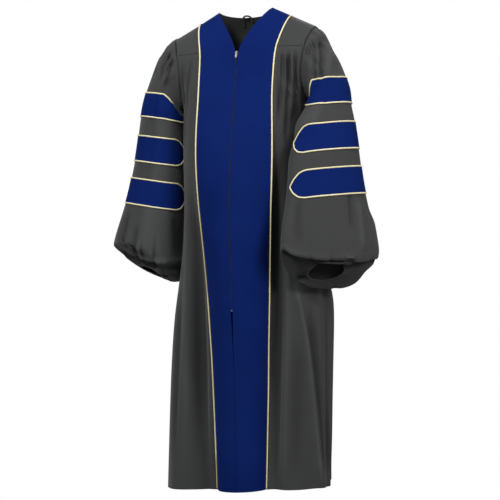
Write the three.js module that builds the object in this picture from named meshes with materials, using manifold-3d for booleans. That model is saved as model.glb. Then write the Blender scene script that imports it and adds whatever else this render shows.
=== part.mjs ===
// A doctoral graduation gown in the hollow form it keeps when worn, with open neck, hem and cuffs.
// Millimetres. +Z is up, the front faces -Y and +X is the wearer's left.
// The origin is the middle of the neck opening, level with the shoulder seams at the neck.
// Each piece is worked out on the +X side and mirrored; the tables give what differs between sides.

import * as THREE from "three";
import Module from "manifold-3d";
import { mergeVertices } from "three/addons/utils/BufferGeometryUtils.js";

// Cloth, seams and trim
const CLOTH = 1.6; // wall of the gown cloth
const VELVET = 2.0; // wall of the velvet panels and bars
const SEAM_GAP = 0.5; // clear width of a flat seam
const PIPING_RADIUS = 2.2;
const PIPING_CLEAR = 0.7; // between the cord and the cloth under it

// Main lengths
const YOKE_Z = -122; // front yoke seam and the foot of the V neck
const BACK_YOKE_Z = -150;
const BACK_YOKE_Y = 112; // centre back at the back yoke seam
const HEM_Z = -1350;
const NECK_HALF = 78; // neck opening, half width at the shoulder seams
const NECK_BACK_Y = 64;
const NECK_BACK_Z = -11;
const SHOULDER_TILT = 0.045; // the wearer's left shoulder stands a little higher

// The armhole is an oval in a plane that leans out at the top; its front is scooped towards the chest
const ARMHOLE = { x: 192, y: 5, z: -166, halfHeight: 104, halfDepth: 72, lean: 84, scoop: 15 };
const SCOOP_END = 2.4; // sleeve section where the scoop has run out

// Where the piping leaves the front yoke seam and where it meets the shoulder seam
const PIPING_FOOT = { x: 110, y: -78 };
const PIPING_TOP = { x: 133, y: 2, z: -28 };
const SHOULDER_ROUND = 0.6; // 1 is a fully round shoulder front, 0 a straight slope

// Front lines by height: the zip's distance forward, the piping beside the velvet panel,
// and the turn in degrees at which the black front leaves the piping
const FRONT_LINES = [
  { z: -122, zipY: -87, pipeX: 110, pipeY: -78, leave: 8 },
  { z: -255, zipY: -110, pipeX: 107, pipeY: -104, leave: 14 },
  { z: -396, zipY: -142, pipeX: 110, pipeY: -116, leave: 26 },
  { z: -538, zipY: -154, pipeX: 104, pipeY: -108, leave: 34 },
  { z: -680, zipY: -152, pipeX: 94, pipeY: -86, leave: 34 },
  { z: -820, zipY: -138, pipeX: 87, pipeY: -68, leave: 26 },
  { z: -962, zipY: -119, pipeX: 81, pipeY: -55, leave: 16 },
  { z: -1103, zipY: -102, pipeX: 77, pipeY: -45, leave: 6 },
  { z: -1350, zipY: -96, pipeX: 70, pipeY: -38, leave: -8 },
];

// Side seams and centre back by height, below the armhole
const SIDE_LINES = [
  { z: -269, leftX: 181, rightX: 181, sideY: 5, backY: 126 },
  { z: -400, leftX: 171, rightX: 186, sideY: 22, backY: 134 },
  { z: -540, leftX: 174, rightX: 188, sideY: 30, backY: 142 },
  { z: -640, leftX: 188, rightX: 194, sideY: 38, backY: 152 },
  { z: -730, leftX: 216, rightX: 200, sideY: 44, backY: 163 },
  { z: -820, leftX: 242, rightX: 224, sideY: 50, backY: 175 },
  { z: -1000, leftX: 241, rightX: 237, sideY: 45, backY: 195 },
  { z: -1350, leftX: 237, rightX: 243, sideY: 30, backY: 214 },
];

// Heights of the rows of points on the body pieces
const BODY_LEVELS = [
  YOKE_Z, -160, -200, -235, -258, -270, -330, -400, -480,
  -560, -650, -790, -850, -955, -1080, -1210, HEM_Z,
];

// Body folds: place along the row at the start and at the hem (0 at the piping or side seam,
// 1 at the side seam or centre back), height where each starts and where it is full,
// half width and depth, ridges positive
const LEFT_FRONT_FOLDS = [
  { topAt: 0.16, hemAt: 0.1, from: -330, full: -900, half: 30, depth: -15 },
  { topAt: 0.42, hemAt: 0.38, from: -560, full: -1150, half: 62, depth: 15 },
  { topAt: 0.62, hemAt: 0.8, from: -700, full: -880, half: 26, depth: 9 },
  { topAt: 0.74, hemAt: 0.92, from: -700, full: -880, half: 24, depth: -13 },
];
const RIGHT_FRONT_FOLDS = [
  { topAt: 0.2, hemAt: 0.12, from: -420, full: -1000, half: 36, depth: -14 },
  { topAt: 0.62, hemAt: 0.56, from: -640, full: -1200, half: 58, depth: 13 },
];
const LEFT_BACK_FOLDS = [
  { topAt: 0.16, hemAt: 0.18, from: -360, full: -1100, half: 48, depth: -20 },
  { topAt: 0.4, hemAt: 0.42, from: -330, full: -1150, half: 52, depth: 18 },
  { topAt: 0.66, hemAt: 0.66, from: -360, full: -1200, half: 50, depth: -21 },
  { topAt: 0.88, hemAt: 0.9, from: -300, full: -1100, half: 46, depth: 16 },
];
const RIGHT_BACK_FOLDS = [
  { topAt: 0.2, hemAt: 0.22, from: -340, full: -1150, half: 50, depth: -19 },
  { topAt: 0.47, hemAt: 0.47, from: -350, full: -1080, half: 54, depth: 19 },
  { topAt: 0.72, hemAt: 0.71, from: -320, full: -1200, half: 44, depth: -18 },
  { topAt: 0.9, hemAt: 0.88, from: -380, full: -1150, half: 40, depth: 12 },
];

const SEAM_CALM = 36; // folds die out this far from a seam

// Gathers under the yoke: number across the piece, depth, and the height where they have run out
const FRONT_GATHERS = {
  left: { count: 5, depth: 5, end: -420 },
  right: { count: 4, depth: 2.4, end: -330 },
};
const BACK_GATHERS = { count: 6, depth: 6, end: -560 }; // on each half of the back
const FRONT_COLUMNS = { left: 16, right: 13 };
const BACK_COLUMNS = 18;
const PANEL_COLUMNS = 5;
const SHOULDER_ROWS = 4; // rows between a yoke seam and the shoulder seam

// Sleeve sections from the armhole down: centre, pitch of the section's long axis above the
// horizontal, its yaw, half sizes along and across it, and how far the edge drops at the back,
// rises at the outside and rises at both ends
const LEFT_SLEEVE = [
  { t: 0, x: 195, y: 5, z: -166, pitch: 84, yaw: 0, wide: 104, deep: 72, drop: 0, rise: 0, ends: 0 },
  { t: 1, x: 209, y: 3, z: -173, pitch: 84, yaw: 0, wide: 99, deep: 79, drop: 0, rise: 0, ends: 0 },
  { t: 2, x: 230, y: -2, z: -196, pitch: 75, yaw: 2, wide: 94, deep: 82, drop: 0, rise: 0, ends: 0 },
  { t: 3, x: 233, y: -8, z: -232, pitch: 58, yaw: 6, wide: 71, deep: 80, drop: 0, rise: 0, ends: 0 },
  { t: 4, x: 246, y: -28, z: -287, pitch: 22, yaw: 16, wide: 62, deep: 69, drop: 0, rise: 0, ends: 0 },
  { t: 5, x: 243, y: -70, z: -381, pitch: 8, yaw: 24, wide: 93, deep: 54, drop: 0, rise: 0, ends: 0 },
  { t: 6, x: 248.5, y: -78, z: -475, pitch: 5, yaw: 29, wide: 102, deep: 56, drop: 0, rise: 0, ends: 0 },
  { t: 7, x: 253, y: -83, z: -560, pitch: 3, yaw: 31, wide: 114, deep: 54, drop: 6, rise: 0, ends: 0 },
  { t: 8, x: 259, y: -88, z: -640, pitch: 0, yaw: 33, wide: 130, deep: 54, drop: 16, rise: -4, ends: 16 },
  { t: 9, x: 263, y: -86, z: -758, pitch: 0, yaw: 32, wide: 138, deep: 57, drop: 38, rise: -15, ends: 56 },
  { t: 10, x: 254, y: -84, z: -748, pitch: 0, yaw: 32, wide: 52, deep: 38, drop: 24, rise: 0, ends: 0 },
];
const RIGHT_SLEEVE = [
  { t: 0, x: 195, y: 5, z: -166, pitch: 84, yaw: 0, wide: 104, deep: 72, drop: 0, rise: 0, ends: 0 },
  { t: 1, x: 210, y: 5, z: -172, pitch: 84, yaw: 0, wide: 99, deep: 79, drop: 0, rise: 0, ends: 0 },
  { t: 2, x: 237, y: 5, z: -196, pitch: 75, yaw: 0, wide: 98, deep: 82, drop: 0, rise: 0, ends: 0 },
  { t: 3, x: 243, y: 5, z: -232, pitch: 58, yaw: -4, wide: 81, deep: 80, drop: 0, rise: 0, ends: 0 },
  { t: 4, x: 254, y: 6, z: -287, pitch: 25, yaw: -8, wide: 65, deep: 77, drop: 0, rise: 0, ends: 0 },
  { t: 5, x: 261, y: 10, z: -381, pitch: 10, yaw: -14, wide: 68, deep: 78, drop: 0, rise: 0, ends: 0 },
  { t: 6, x: 272, y: 14, z: -475, pitch: 8, yaw: -18, wide: 77, deep: 80, drop: 0, rise: 0, ends: 0 },
  { t: 7, x: 285, y: 18, z: -560, pitch: 6, yaw: -20, wide: 86, deep: 82, drop: 4, rise: 4, ends: 0 },
  { t: 8, x: 300, y: 22, z: -632, pitch: 2, yaw: -22, wide: 95, deep: 82, drop: 8, rise: 22, ends: 0 },
  { t: 9, x: 308, y: 26, z: -700, pitch: 0, yaw: -24, wide: 98, deep: 82, drop: 22, rise: 56, ends: 0 },
  { t: 10, x: 286, y: 26, z: -727, pitch: 0, yaw: -24, wide: 42, deep: 42, drop: 4, rise: 18, ends: 0 },
];

// Sleeve folds round the section: angle at the start and at the cuff (0 outside, -90 front),
// section where each starts, half width in degrees and depth
const LEFT_SLEEVE_FOLDS = [
  { topAt: 14, cuffAt: 8, from: 6.2, half: 16, depth: 9 },
  { topAt: 34, cuffAt: 32, from: 6.4, half: 18, depth: -11 },
  { topAt: 92, cuffAt: 96, from: 5.5, half: 26, depth: 10 },
  { topAt: -120, cuffAt: -128, from: 6.4, half: 24, depth: -7 },
];
const RIGHT_SLEEVE_FOLDS = [
  { topAt: -30, cuffAt: -38, from: 6.4, half: 24, depth: 8 },
  { topAt: 28, cuffAt: 34, from: 6, half: 20, depth: -11 },
  { topAt: 100, cuffAt: 96, from: 5.6, half: 26, depth: 10 },
];

// Cap gathers: angle each side of the shoulder top, number, depth, and the section where they end
const CAP = { reach: 100, count: 10, depth: 5, end: 3.6 };
const CAP_STEPS = 3; // columns of points to a gather
const UNDERARM_STEPS = 16;
const CAP_SECTIONS = [0, 0.6, 1.3];
const CUFF_SECTIONS = [8.1, 9, 9.5, 10]; // the bell turns under at 9 to the cuff opening
const SECTION_STEP = 0.22; // least step between rows of points down a sleeve

// Velvet bars on each sleeve: edges, and the columns' angles at the two points
const BARS = [
  { top: -214, bottom: -297, front: { left: -170, right: -180 }, back: 80 },
  { top: -343, bottom: -422, front: { left: -160, right: -160 }, back: 80 },
  { top: -467, bottom: -547, front: { left: -160, right: -160 }, back: 80 },
];
const BAR_SLOPE = { left: 0.06, right: 0.19 }; // the bars rise to the outside
const BAR_CENTRE_X = 255;
const BAR_POINT = 30; // degrees of each bar's pointed end
const BAR_POINT_ROUND = 0.85;
const BAR_TIP_SETBACK = 0.75; // share of the last column that the velvet stops short of the cord
const BAR_INSET = { edge: 2.2, point: 3.4 }; // of the velvet from the bar's edge, in cord radii
const BAR_TIP_HALF = 0.03; // half height of the velvet's blunt tip, as a share of the bar

// Zip: chain in a gap between the velvet panels, slider at the foot of the V, bottom stop
const ZIP_HALF_GAP = 3;
const ZIP_TOP_Z = -126;
const ZIP_END_Z = -842;
const ZIP_OPEN_Z = -850; // the panels stand a zip's width apart down to here
const ZIP_CLOSE_Z = -955; // below this the two panels meet edge to edge
const CHAIN = { half: 2.6, front: -0.6, back: 1.2 };
const TAPE = { half: 12, front: 1.7, back: 2.7 };
const STOP = { half: 2.3, height: 5, depth: 1.6 };
const SLIDER = { z: -133, height: 11, stemHalf: 2.5, plateHalf: 4.1, stemBack: -0.9, plateBack: -1.7 };
const SLIDER_FRONT = -4;
const BRIDGE = { half: 0.7, reach: 3.2, top: 4.6, bottom: -4.6, bar: 1 };
const PULL = { y: -5.1, z: 1.5, half: 2.8, armHalf: 1.05, bar: 0.6, slot: 7, length: 16, thick: 1.2 };

// Hanger loop on the inside of the back neck
const LOOP = { x: -15, half: 12, width: 6, thick: 1.2, clear: 1.2, rise: 12, sewn: 0.22, steps: 8 };

const COLOURS = { cloth: 0x3b3b3a, velvet: 0x13235f, piping: 0xd9c584, tape: 0x23252c, metal: 0xb9bbbf };

// Small helpers
const point = (x, y, z) => new THREE.Vector3(x, y, z);
const mix = (a, b, t) => a + (b - a) * t;
const clamp = THREE.MathUtils.clamp;
const rad = THREE.MathUtils.degToRad;
const ease = (t) => THREE.MathUtils.smoothstep(t, 0, 1);
const between = (a, b, t) => a.clone().lerp(b, t);
const bump = (x) => (Math.abs(x) < 1 ? Math.cos((x * Math.PI) / 2) ** 2 : 0);
const steps = (count) => Array.from({ length: count + 1 }, (_, i) => i / count);
function hermite(a, b, slopeA, slopeB, t) {
  const fromStart = (a * (1 + 2 * t) + slopeA * t) * (1 - t) ** 2;
  return fromStart + (b * (3 - 2 * t) + slopeB * (t - 1)) * t * t;
}

// The columns of a table at any value of its key, on a smooth curve through the rows
function rowAt(table, key, value) {
  const last = table.length - 1;
  const sense = Math.sign(table[last][key] - table[0][key]);
  let i = 0;
  while (i < last - 1 && (value - table[i + 1][key]) * sense > 0) i++;
  const [before, a, b, after] = [i - 1, i, i + 1, i + 2].map((k) => table[clamp(k, 0, last)]);
  const span = b[key] - a[key];
  const t = clamp((value - a[key]) / span, 0, 1);
  const row = {};
  for (const column of Object.keys(a)) {
    const slope = (from, to) => ((to[column] - from[column]) / (to[key] - from[key])) * span;
    row[column] = hermite(a[column], b[column], slope(before, b), slope(a, after), t);
  }
  return row;
}

// The worn stance: one side of the gown hangs a little higher than the other
const stance = (p) => point(p.x, p.y, p.z + SHOULDER_TILT * p.x);

// Walls and cords

// Unit normals of a grid of points, rows by columns; round joins the last column to the first
function gridNormals(grid, round) {
  const rows = grid.length;
  const columns = grid[0].length;
  return grid.map((row, r) =>
    row.map((_, c) => {
      const up = grid[Math.max(0, r - 1)][c];
      const down = grid[Math.min(rows - 1, r + 1)][c];
      const left = round ? row[(c + columns - 1) % columns] : row[Math.max(0, c - 1)];
      const right = round ? row[(c + 1) % columns] : row[Math.min(columns - 1, c + 1)];
      return down.clone().sub(up).cross(right.clone().sub(left)).normalize();
    }),
  );
}

// A closed solid from its points and faces, turned to face outwards
function solid(points, faces) {
  const part = ([a, b, c]) => points[a].dot(points[b].clone().cross(points[c]));
  const volume = faces.reduce((sum, face) => sum + part(face), 0);
  const geometry = new THREE.BufferGeometry();
  const positions = points.flatMap((p) => [p.x, p.y, p.z]);
  geometry.setAttribute("position", new THREE.Float32BufferAttribute(positions, 3));
  geometry.setIndex(faces.flatMap(([a, b, c]) => (volume > 0 ? [a, b, c] : [a, c, b])));
  geometry.computeVertexNormals();
  return geometry;
}

// A cloth wall of even thickness about a grid of points
function wall(grid, thickness, round = false, normals = gridNormals(grid, round)) {
  const rows = grid.length;
  const columns = grid[0].length;
  const end = columns - 1;
  const skin = (half) =>
    grid.flatMap((row, r) => row.map((p, c) => p.clone().addScaledVector(normals[r][c], half)));
  const points = [...skin(thickness / 2), ...skin(-thickness / 2)].map(stance);
  const outer = (r, c) => r * columns + (c % columns);
  const inner = (r, c) => rows * columns + outer(r, c);
  const faces = [];
  const quad = (a, b, c, d) => faces.push([a, b, c], [a, c, d]);
  for (let r = 0; r < rows - 1; r++) {
    for (let c = 0; c < columns - (round ? 0 : 1); c++) {
      quad(outer(r, c), outer(r + 1, c), outer(r + 1, c + 1), outer(r, c + 1));
      quad(inner(r, c), inner(r, c + 1), inner(r + 1, c + 1), inner(r + 1, c));
    }
    if (!round) {
      quad(outer(r, 0), inner(r, 0), inner(r + 1, 0), outer(r + 1, 0));
      quad(outer(r, end), outer(r + 1, end), inner(r + 1, end), inner(r, end));
    }
  }
  for (let c = 0; c < columns - (round ? 0 : 1); c++) {
    quad(outer(0, c), outer(0, c + 1), inner(0, c + 1), inner(0, c));
    quad(outer(rows - 1, c), inner(rows - 1, c), inner(rows - 1, c + 1), outer(rows - 1, c + 1));
  }
  return solid(points, faces);
}

// A cord or strap of an oval section along a path; normals face away from the cloth under it
function cord(path, normals, halfWide, halfThick, sides, loop) {
  const count = path.length;
  const points = path.flatMap((p, i) => {
    const before = path[loop ? (i + count - 1) % count : Math.max(0, i - 1)];
    const after = path[loop ? (i + 1) % count : Math.min(count - 1, i + 1)];
    const across = after.clone().sub(before).cross(normals[i]).normalize();
    return Array.from({ length: sides }, (_, k) => {
      const turn = (2 * Math.PI * (k + 0.5)) / sides;
      const reach = 1 / Math.sqrt(Math.cos(Math.PI / sides));
      return p
        .clone()
        .addScaledVector(across, Math.cos(turn) * halfWide * reach)
        .addScaledVector(normals[i], Math.sin(turn) * halfThick * reach);
    });
  });
  const faces = [];
  for (let i = 0; i < count - (loop ? 0 : 1); i++) {
    for (let k = 0; k < sides; k++) {
      const [a, b] = [i * sides + k, i * sides + ((k + 1) % sides)];
      const [c, d] = [((i + 1) % count) * sides + ((k + 1) % sides), ((i + 1) % count) * sides + k];
      faces.push([a, b, c], [a, c, d]);
    }
  }
  if (!loop) {
    for (let k = 1; k < sides - 1; k++) {
      faces.push([0, k + 1, k]);
      faces.push([(count - 1) * sides, (count - 1) * sides + k, (count - 1) * sides + k + 1]);
    }
  }
  return solid(points.map(stance), faces);
}

// A row of points with its two ends drawn back along it
function trimmed(row, atStart, atEnd) {
  const out = row.map((p) => p.clone());
  const drawBack = (end, next, distance) =>
    end.addScaledVector(next.clone().sub(end).normalize(), distance);
  drawBack(out[0], row[1], atStart);
  drawBack(out[out.length - 1], row[row.length - 2], atEnd);
  return out;
}

// Seam lines of the body

const armholeHeight = ARMHOLE.halfHeight * Math.sin(rad(ARMHOLE.lean));
const UNDERARM_Z = ARMHOLE.z - armholeHeight;
const frontScoop = (turn) => ARMHOLE.scoop * Math.max(0, -Math.sin(turn)) ** 2;
const armholeAt = (turn) =>
  point(
    ARMHOLE.x + ARMHOLE.halfHeight * Math.cos(rad(ARMHOLE.lean)) * Math.cos(turn) - frontScoop(turn),
    ARMHOLE.y + ARMHOLE.halfDepth * Math.sin(turn),
    ARMHOLE.z + armholeHeight * Math.cos(turn),
  );
const armholeTurn = (z) => Math.acos(clamp((z - ARMHOLE.z) / armholeHeight, -1, 1));

// The side of the body: the side seam, or above the underarm the line the armhole's plane follows
function sideLine(side, z) {
  if (z > UNDERARM_Z) {
    return point(ARMHOLE.x + (z - ARMHOLE.z) / Math.tan(rad(ARMHOLE.lean)), ARMHOLE.y, z);
  }
  const line = rowAt(SIDE_LINES, "z", z);
  return point(line[side + "X"], line.sideY, z);
}

// A curve between two points at one height, leaving and arriving at given turns in degrees
function levelCurve(start, end, leave, arrive) {
  const length = start.distanceTo(end);
  const slope = (turn) => [length * Math.cos(rad(turn)), length * Math.sin(rad(turn))];
  const [[sx, sy], [ex, ey]] = [slope(leave), slope(arrive)];
  return (t) => point(hermite(start.x, end.x, sx, ex, t), hermite(start.y, end.y, sy, ey, t), start.z);
}

// Where a curve that runs steadily backwards reaches a distance y
function shareAt(curve, y) {
  let [low, high] = [0, 1];
  for (let i = 0; i < 24; i++) {
    const middle = (low + high) / 2;
    if (curve(middle).y < y) low = middle;
    else high = middle;
  }
  return (low + high) / 2;
}

// Moves a row's points out along their level normals by a depth that depends on the place along it
function folded(row, depthAt) {
  const last = row.length - 1;
  const length = row.reduce((sum, p, i) => (i ? sum + p.distanceTo(row[i - 1]) : 0), 0);
  return row.map((p, i) => {
    const along = row[Math.min(last, i + 1)].clone().sub(row[Math.max(0, i - 1)]).setZ(0).normalize();
    return p.clone().addScaledVector(point(along.y, -along.x, 0), depthAt(i / last, length));
  });
}

const foldDepth = (folds, z, at, length) =>
  folds.reduce((sum, fold) => {
    const place = mix(fold.topAt, fold.hemAt, clamp((fold.from - z) / (fold.from - HEM_Z), 0, 1));
    const grown = ease((fold.from - z) / (fold.from - fold.full));
    const clearOfSeams = ease((Math.min(at, 1 - at) * length) / SEAM_CALM);
    return sum + fold.depth * grown * clearOfSeams * bump(((at - place) * length) / fold.half);
  }, 0);

// Gathers start flat in the yoke seam, stand full a little below it and run out further down
function gatherDepth(gathers, seamZ, z, at) {
  const grown = ease((seamZ - z) / 40) * (1 - ease((seamZ - 40 - z) / (seamZ - 40 - gathers.end)));
  return gathers.depth * grown * (0.5 - 0.5 * Math.cos(2 * Math.PI * gathers.count * at));
}

// The black front from the piping to the side seam, or as far as the armhole cuts it
function frontRow(side, z) {
  const line = rowAt(FRONT_LINES, "z", z);
  const curve = levelCurve(point(line.pipeX, line.pipeY, z), sideLine(side, z), line.leave, 90);
  const edge = z > UNDERARM_Z ? armholeAt(-armholeTurn(z)) : curve(1);
  const cut = z > UNDERARM_Z ? shareAt(curve, edge.y) : 1;
  const wider = edge.x - curve(cut).x;
  const row = steps(FRONT_COLUMNS[side]).map((t) => curve(cut * t).add(point(wider * t * t, 0, 0)));
  const folds = side === "left" ? LEFT_FRONT_FOLDS : RIGHT_FRONT_FOLDS;
  return folded(
    row,
    (at, length) => foldDepth(folds, z, at, length) + gatherDepth(FRONT_GATHERS[side], YOKE_Z, z, at),
  );
}

// The velvet panel's row is an arc that is square to the zip and ends at the piping
function panelRow(z) {
  const line = rowAt(FRONT_LINES, "z", z);
  const half = Math.atan2(line.pipeY - line.zipY, line.pipeX);
  const radius = Math.hypot(line.pipeX, line.pipeY - line.zipY) / (2 * Math.sin(half));
  return steps(PANEL_COLUMNS).map((t) =>
    point(radius * Math.sin(2 * half * t), line.zipY + radius * (1 - Math.cos(2 * half * t)), z),
  );
}

// One half of the back, from the side seam or the armhole to the centre back
function backRow(side, z) {
  const blade = mix(BACK_YOKE_Y, SIDE_LINES[0].backY, ease((BACK_YOKE_Z - z) / 120));
  const backY = z > UNDERARM_Z ? blade : rowAt(SIDE_LINES, "z", z).backY;
  const curve = levelCurve(sideLine(side, z), point(0, backY, z), 90, 180);
  const edge = z > UNDERARM_Z ? armholeAt(armholeTurn(z)) : curve(0);
  const cut = z > UNDERARM_Z ? shareAt(curve, edge.y) : 0;
  const wider = edge.x - curve(cut).x;
  const row = steps(BACK_COLUMNS).map((t) =>
    curve(mix(cut, 1, t)).add(point(wider * (1 - t) ** 2, 0, 0)),
  );
  const folds = side === "left" ? LEFT_BACK_FOLDS : RIGHT_BACK_FOLDS;
  return folded(
    row,
    (at, length) => foldDepth(folds, z, at, length) + gatherDepth(BACK_GATHERS, BACK_YOKE_Z, z, at),
  );
}

// Upper edges, by share of the way from the yoke seam to the shoulder seam
const shoulderShare = (t) => {
  const turn = (t * Math.PI) / 2;
  return { rise: Math.sin(turn), fall: mix(1 - Math.sin(turn), Math.cos(turn), SHOULDER_ROUND) };
};
const neckEdge = (t) => {
  const { rise, fall } = shoulderShare(t);
  return point(NECK_HALF * rise ** 1.2, -87 * fall, YOKE_Z * (1 - rise));
};
const pipingEdge = (t) => {
  const { rise, fall } = shoulderShare(t);
  return point(
    mix(PIPING_FOOT.x, PIPING_TOP.x, rise),
    mix(PIPING_TOP.y, PIPING_FOOT.y, fall),
    mix(YOKE_Z, PIPING_TOP.z, rise),
  );
};
const frontArmhole = (t) => armholeAt(-armholeTurn(YOKE_Z) * (1 - t));

const mirrored = (grid, side) =>
  grid.map((row) => row.map((p) => point(side === "left" ? p.x : -p.x, p.y, p.z)));

// Body pieces

// How far the velvet and the front stand back from the piping seam, so their walls clear at its crease
function seamCrease(side, z) {
  const velvet = panelRow(z);
  const front = frontRow(side, z);
  const turnOf = (a, b) => Math.atan2(b.y - a.y, b.x - a.x);
  const velvetTurn = turnOf(velvet[PANEL_COLUMNS - 1], velvet[PANEL_COLUMNS]);
  const frontTurn = turnOf(front[0], front[1]);
  const crease = velvetTurn - frontTurn;
  const middle = (velvetTurn + frontTurn) / 2;
  return {
    back: SEAM_GAP / 2 + (VELVET / 2) * Math.tan(Math.abs(crease) / 2),
    spread: 1 / Math.cos(clamp(crease, 0, 2) / 2),
    normal: point(Math.sin(middle), -Math.cos(middle), 0),
    seam: front[0],
  };
}

const zipEdge = (z) =>
  mix(ZIP_HALF_GAP, SEAM_GAP / 2, ease((ZIP_OPEN_Z - z) / (ZIP_OPEN_Z - ZIP_CLOSE_Z)));

function velvetPanel(side) {
  const lower = [...BODY_LEVELS]
    .reverse()
    .map((z) => trimmed(panelRow(z), zipEdge(z), seamCrease(side, z).back));
  const upper = steps(SHOULDER_ROWS + 1)
    .slice(1)
    .map((t) => {
      const row = steps(PANEL_COLUMNS).map((s) => between(neckEdge(t), pipingEdge(t), s));
      if (t === 1) row.forEach((p) => (p.y -= SEAM_GAP / 2));
      return trimmed(row, t === 1 ? 0 : ZIP_HALF_GAP * (1 - t), SEAM_GAP / 2);
    });
  return wall(mirrored([...lower, ...upper], side), VELVET);
}

function frontPiece(side) {
  const rows = BODY_LEVELS.map((z) =>
    trimmed(frontRow(side, z), seamCrease(side, z).back, SEAM_GAP / 2),
  );
  rows[0].forEach((p) => (p.z -= SEAM_GAP / 2));
  return wall(mirrored(rows, side), CLOTH);
}

function frontYoke(side) {
  const rows = steps(SHOULDER_ROWS + 1).map((t) => {
    const row = steps(PANEL_COLUMNS).map((s) => between(pipingEdge(t), frontArmhole(t), s));
    return trimmed(row, SEAM_GAP / 2, SEAM_GAP / 2);
  });
  rows[0].forEach((p) => (p.z += SEAM_GAP / 2));
  rows[rows.length - 1].forEach((p) => (p.y -= SEAM_GAP / 2));
  return wall(mirrored(rows, side), CLOTH);
}

function backPiece() {
  const levels = [BACK_YOKE_Z, ...BODY_LEVELS.filter((z) => z < BACK_YOKE_Z)];
  const rows = levels.map((z) => {
    const [right] = mirrored([backRow("right", z)], "right");
    const left = backRow("left", z).reverse();
    return trimmed([...right, ...left.slice(1)], SEAM_GAP / 2, SEAM_GAP / 2);
  });
  rows[0].forEach((p) => (p.z -= SEAM_GAP / 2));
  return wall(rows, CLOTH);
}

// The back yoke: each column runs from the shoulder seam or neckline down to the back yoke seam
const YOKE_COLUMNS = 8; // along a shoulder seam, and again along half the neckline
function backYokeColumn(place) {
  const seam = backRow("left", BACK_YOKE_Z);
  const along = place * BACK_COLUMNS;
  const i = Math.min(BACK_COLUMNS - 1, Math.floor(along));
  const foot = between(seam[i], seam[i + 1], along - i);
  const onShoulder = clamp(place * 2, 0, 1);
  const turn = clamp(place * 2 - 1, 0, 1) * (Math.PI / 2);
  const top = between(armholeAt(0), point(NECK_HALF, 0, 0), onShoulder);
  top.x = place > 0.5 ? NECK_HALF * Math.cos(turn) : top.x;
  top.y = place > 0.5 ? NECK_BACK_Y * Math.sin(turn) : top.y;
  top.z = place > 0.5 ? NECK_BACK_Z * Math.sin(turn) : top.z;
  const reach = top.distanceTo(foot);
  return (t) =>
    point(
      mix(top.x, foot.x, t),
      hermite(top.y, foot.y, reach * mix(1.1, 0.7, onShoulder), 0, t),
      hermite(top.z, foot.z, place > 0.5 ? -0.6 * reach * Math.sin(turn) : 0, -1.2 * reach, t),
    );
}

const yokePlaces = steps(2 * YOKE_COLUMNS);
function backYoke() {
  const rows = steps(SHOULDER_ROWS + 1).map((t) => {
    const left = yokePlaces.map((place) => backYokeColumn(place)(t));
    const [right] = mirrored([left], "right");
    const row = trimmed([...right, ...left.reverse().slice(1)], SEAM_GAP / 2, SEAM_GAP / 2);
    if (t === 0) row.forEach((p) => (p.y += SEAM_GAP / 2));
    if (t === 1) row.forEach((p) => (p.z += SEAM_GAP / 2));
    return row;
  });
  return wall(rows, CLOTH);
}

function panelPiping(side) {
  const seams = [...BODY_LEVELS].reverse().map((z) => seamCrease(side, z));
  for (const t of steps(SHOULDER_ROWS + 1).slice(1)) {
    const ahead = pipingEdge(Math.min(1, t + 0.02)).sub(pipingEdge(t - 0.02));
    const across = frontArmhole(t).sub(pipingEdge(t));
    seams.push({ seam: pipingEdge(t), normal: ahead.cross(across).negate().normalize(), spread: 1 });
  }
  const flip = side === "left" ? 1 : -1;
  const turned = (p) => point(p.x * flip, p.y, p.z);
  const last = seams.length - 1;
  const normals = seams.map(({ normal }, i) => {
    const [before, after] = [seams[Math.max(0, i - 1)], seams[Math.min(last, i + 1)]];
    const along = after.seam.clone().sub(before.seam).normalize();
    return normal.clone().addScaledVector(along, -normal.dot(along)).normalize();
  });
  const rise = VELVET / 2 + PIPING_CLEAR + PIPING_RADIUS;
  const path = seams.map(({ seam, spread }, i) =>
    seam.clone().addScaledVector(normals[i], rise * spread),
  );
  return cord(path.map(turned), normals.map(turned), PIPING_RADIUS, PIPING_RADIUS, 6, false);
}

// Sleeves

const capStep = (2 * CAP.reach) / (CAP.count * CAP_STEPS);
const underarmStep = (360 - 2 * CAP.reach) / UNDERARM_STEPS;
const sleeveAngles = [
  ...Array.from({ length: CAP.count * CAP_STEPS }, (_, i) => -CAP.reach + i * capStep),
  ...Array.from({ length: UNDERARM_STEPS }, (_, i) => CAP.reach + i * underarmStep),
];

function sleevePoint(table, folds, angle, t) {
  const section = rowAt(table, "t", t);
  const [pitch, yaw, turn] = [rad(section.pitch), rad(section.yaw), rad(angle)];
  const along = point(Math.cos(pitch) * Math.cos(yaw), Math.cos(pitch) * Math.sin(yaw), Math.sin(pitch));
  const across = point(-Math.sin(yaw), Math.cos(yaw), 0);
  const gather = CAP.depth * ease(t / 0.8) * (1 - ease((t - 1) / (CAP.end - 1)));
  const wave = rad(((angle + CAP.reach) * 180 * CAP.count) / CAP.reach);
  const onCap = Math.abs(angle) <= CAP.reach ? 0.5 - 0.5 * Math.cos(wave) : 0;
  const fold = folds.reduce((sum, f) => {
    const share = clamp((t - f.from) / (9 - f.from), 0, 1);
    const apart = ((angle - mix(f.topAt, f.cuffAt, share) + 540) % 360) - 180;
    return sum + f.depth * ease(share * 1.6) * (1 - ease(t - 9)) * bump(apart / f.half);
  }, 0);
  const out = gather * onCap + fold;
  const [cos, sin] = [Math.cos(turn), Math.sin(turn)];
  const lift = section.rise * cos + section.ends * cos ** 4 - section.drop * sin;
  const scoop = frontScoop(turn) * (1 - ease(t / SCOOP_END));
  return point(section.x - scoop, section.y, section.z + lift)
    .addScaledVector(along, (section.wide + out) * cos)
    .addScaledVector(across, (section.deep + out) * sin);
}

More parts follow.
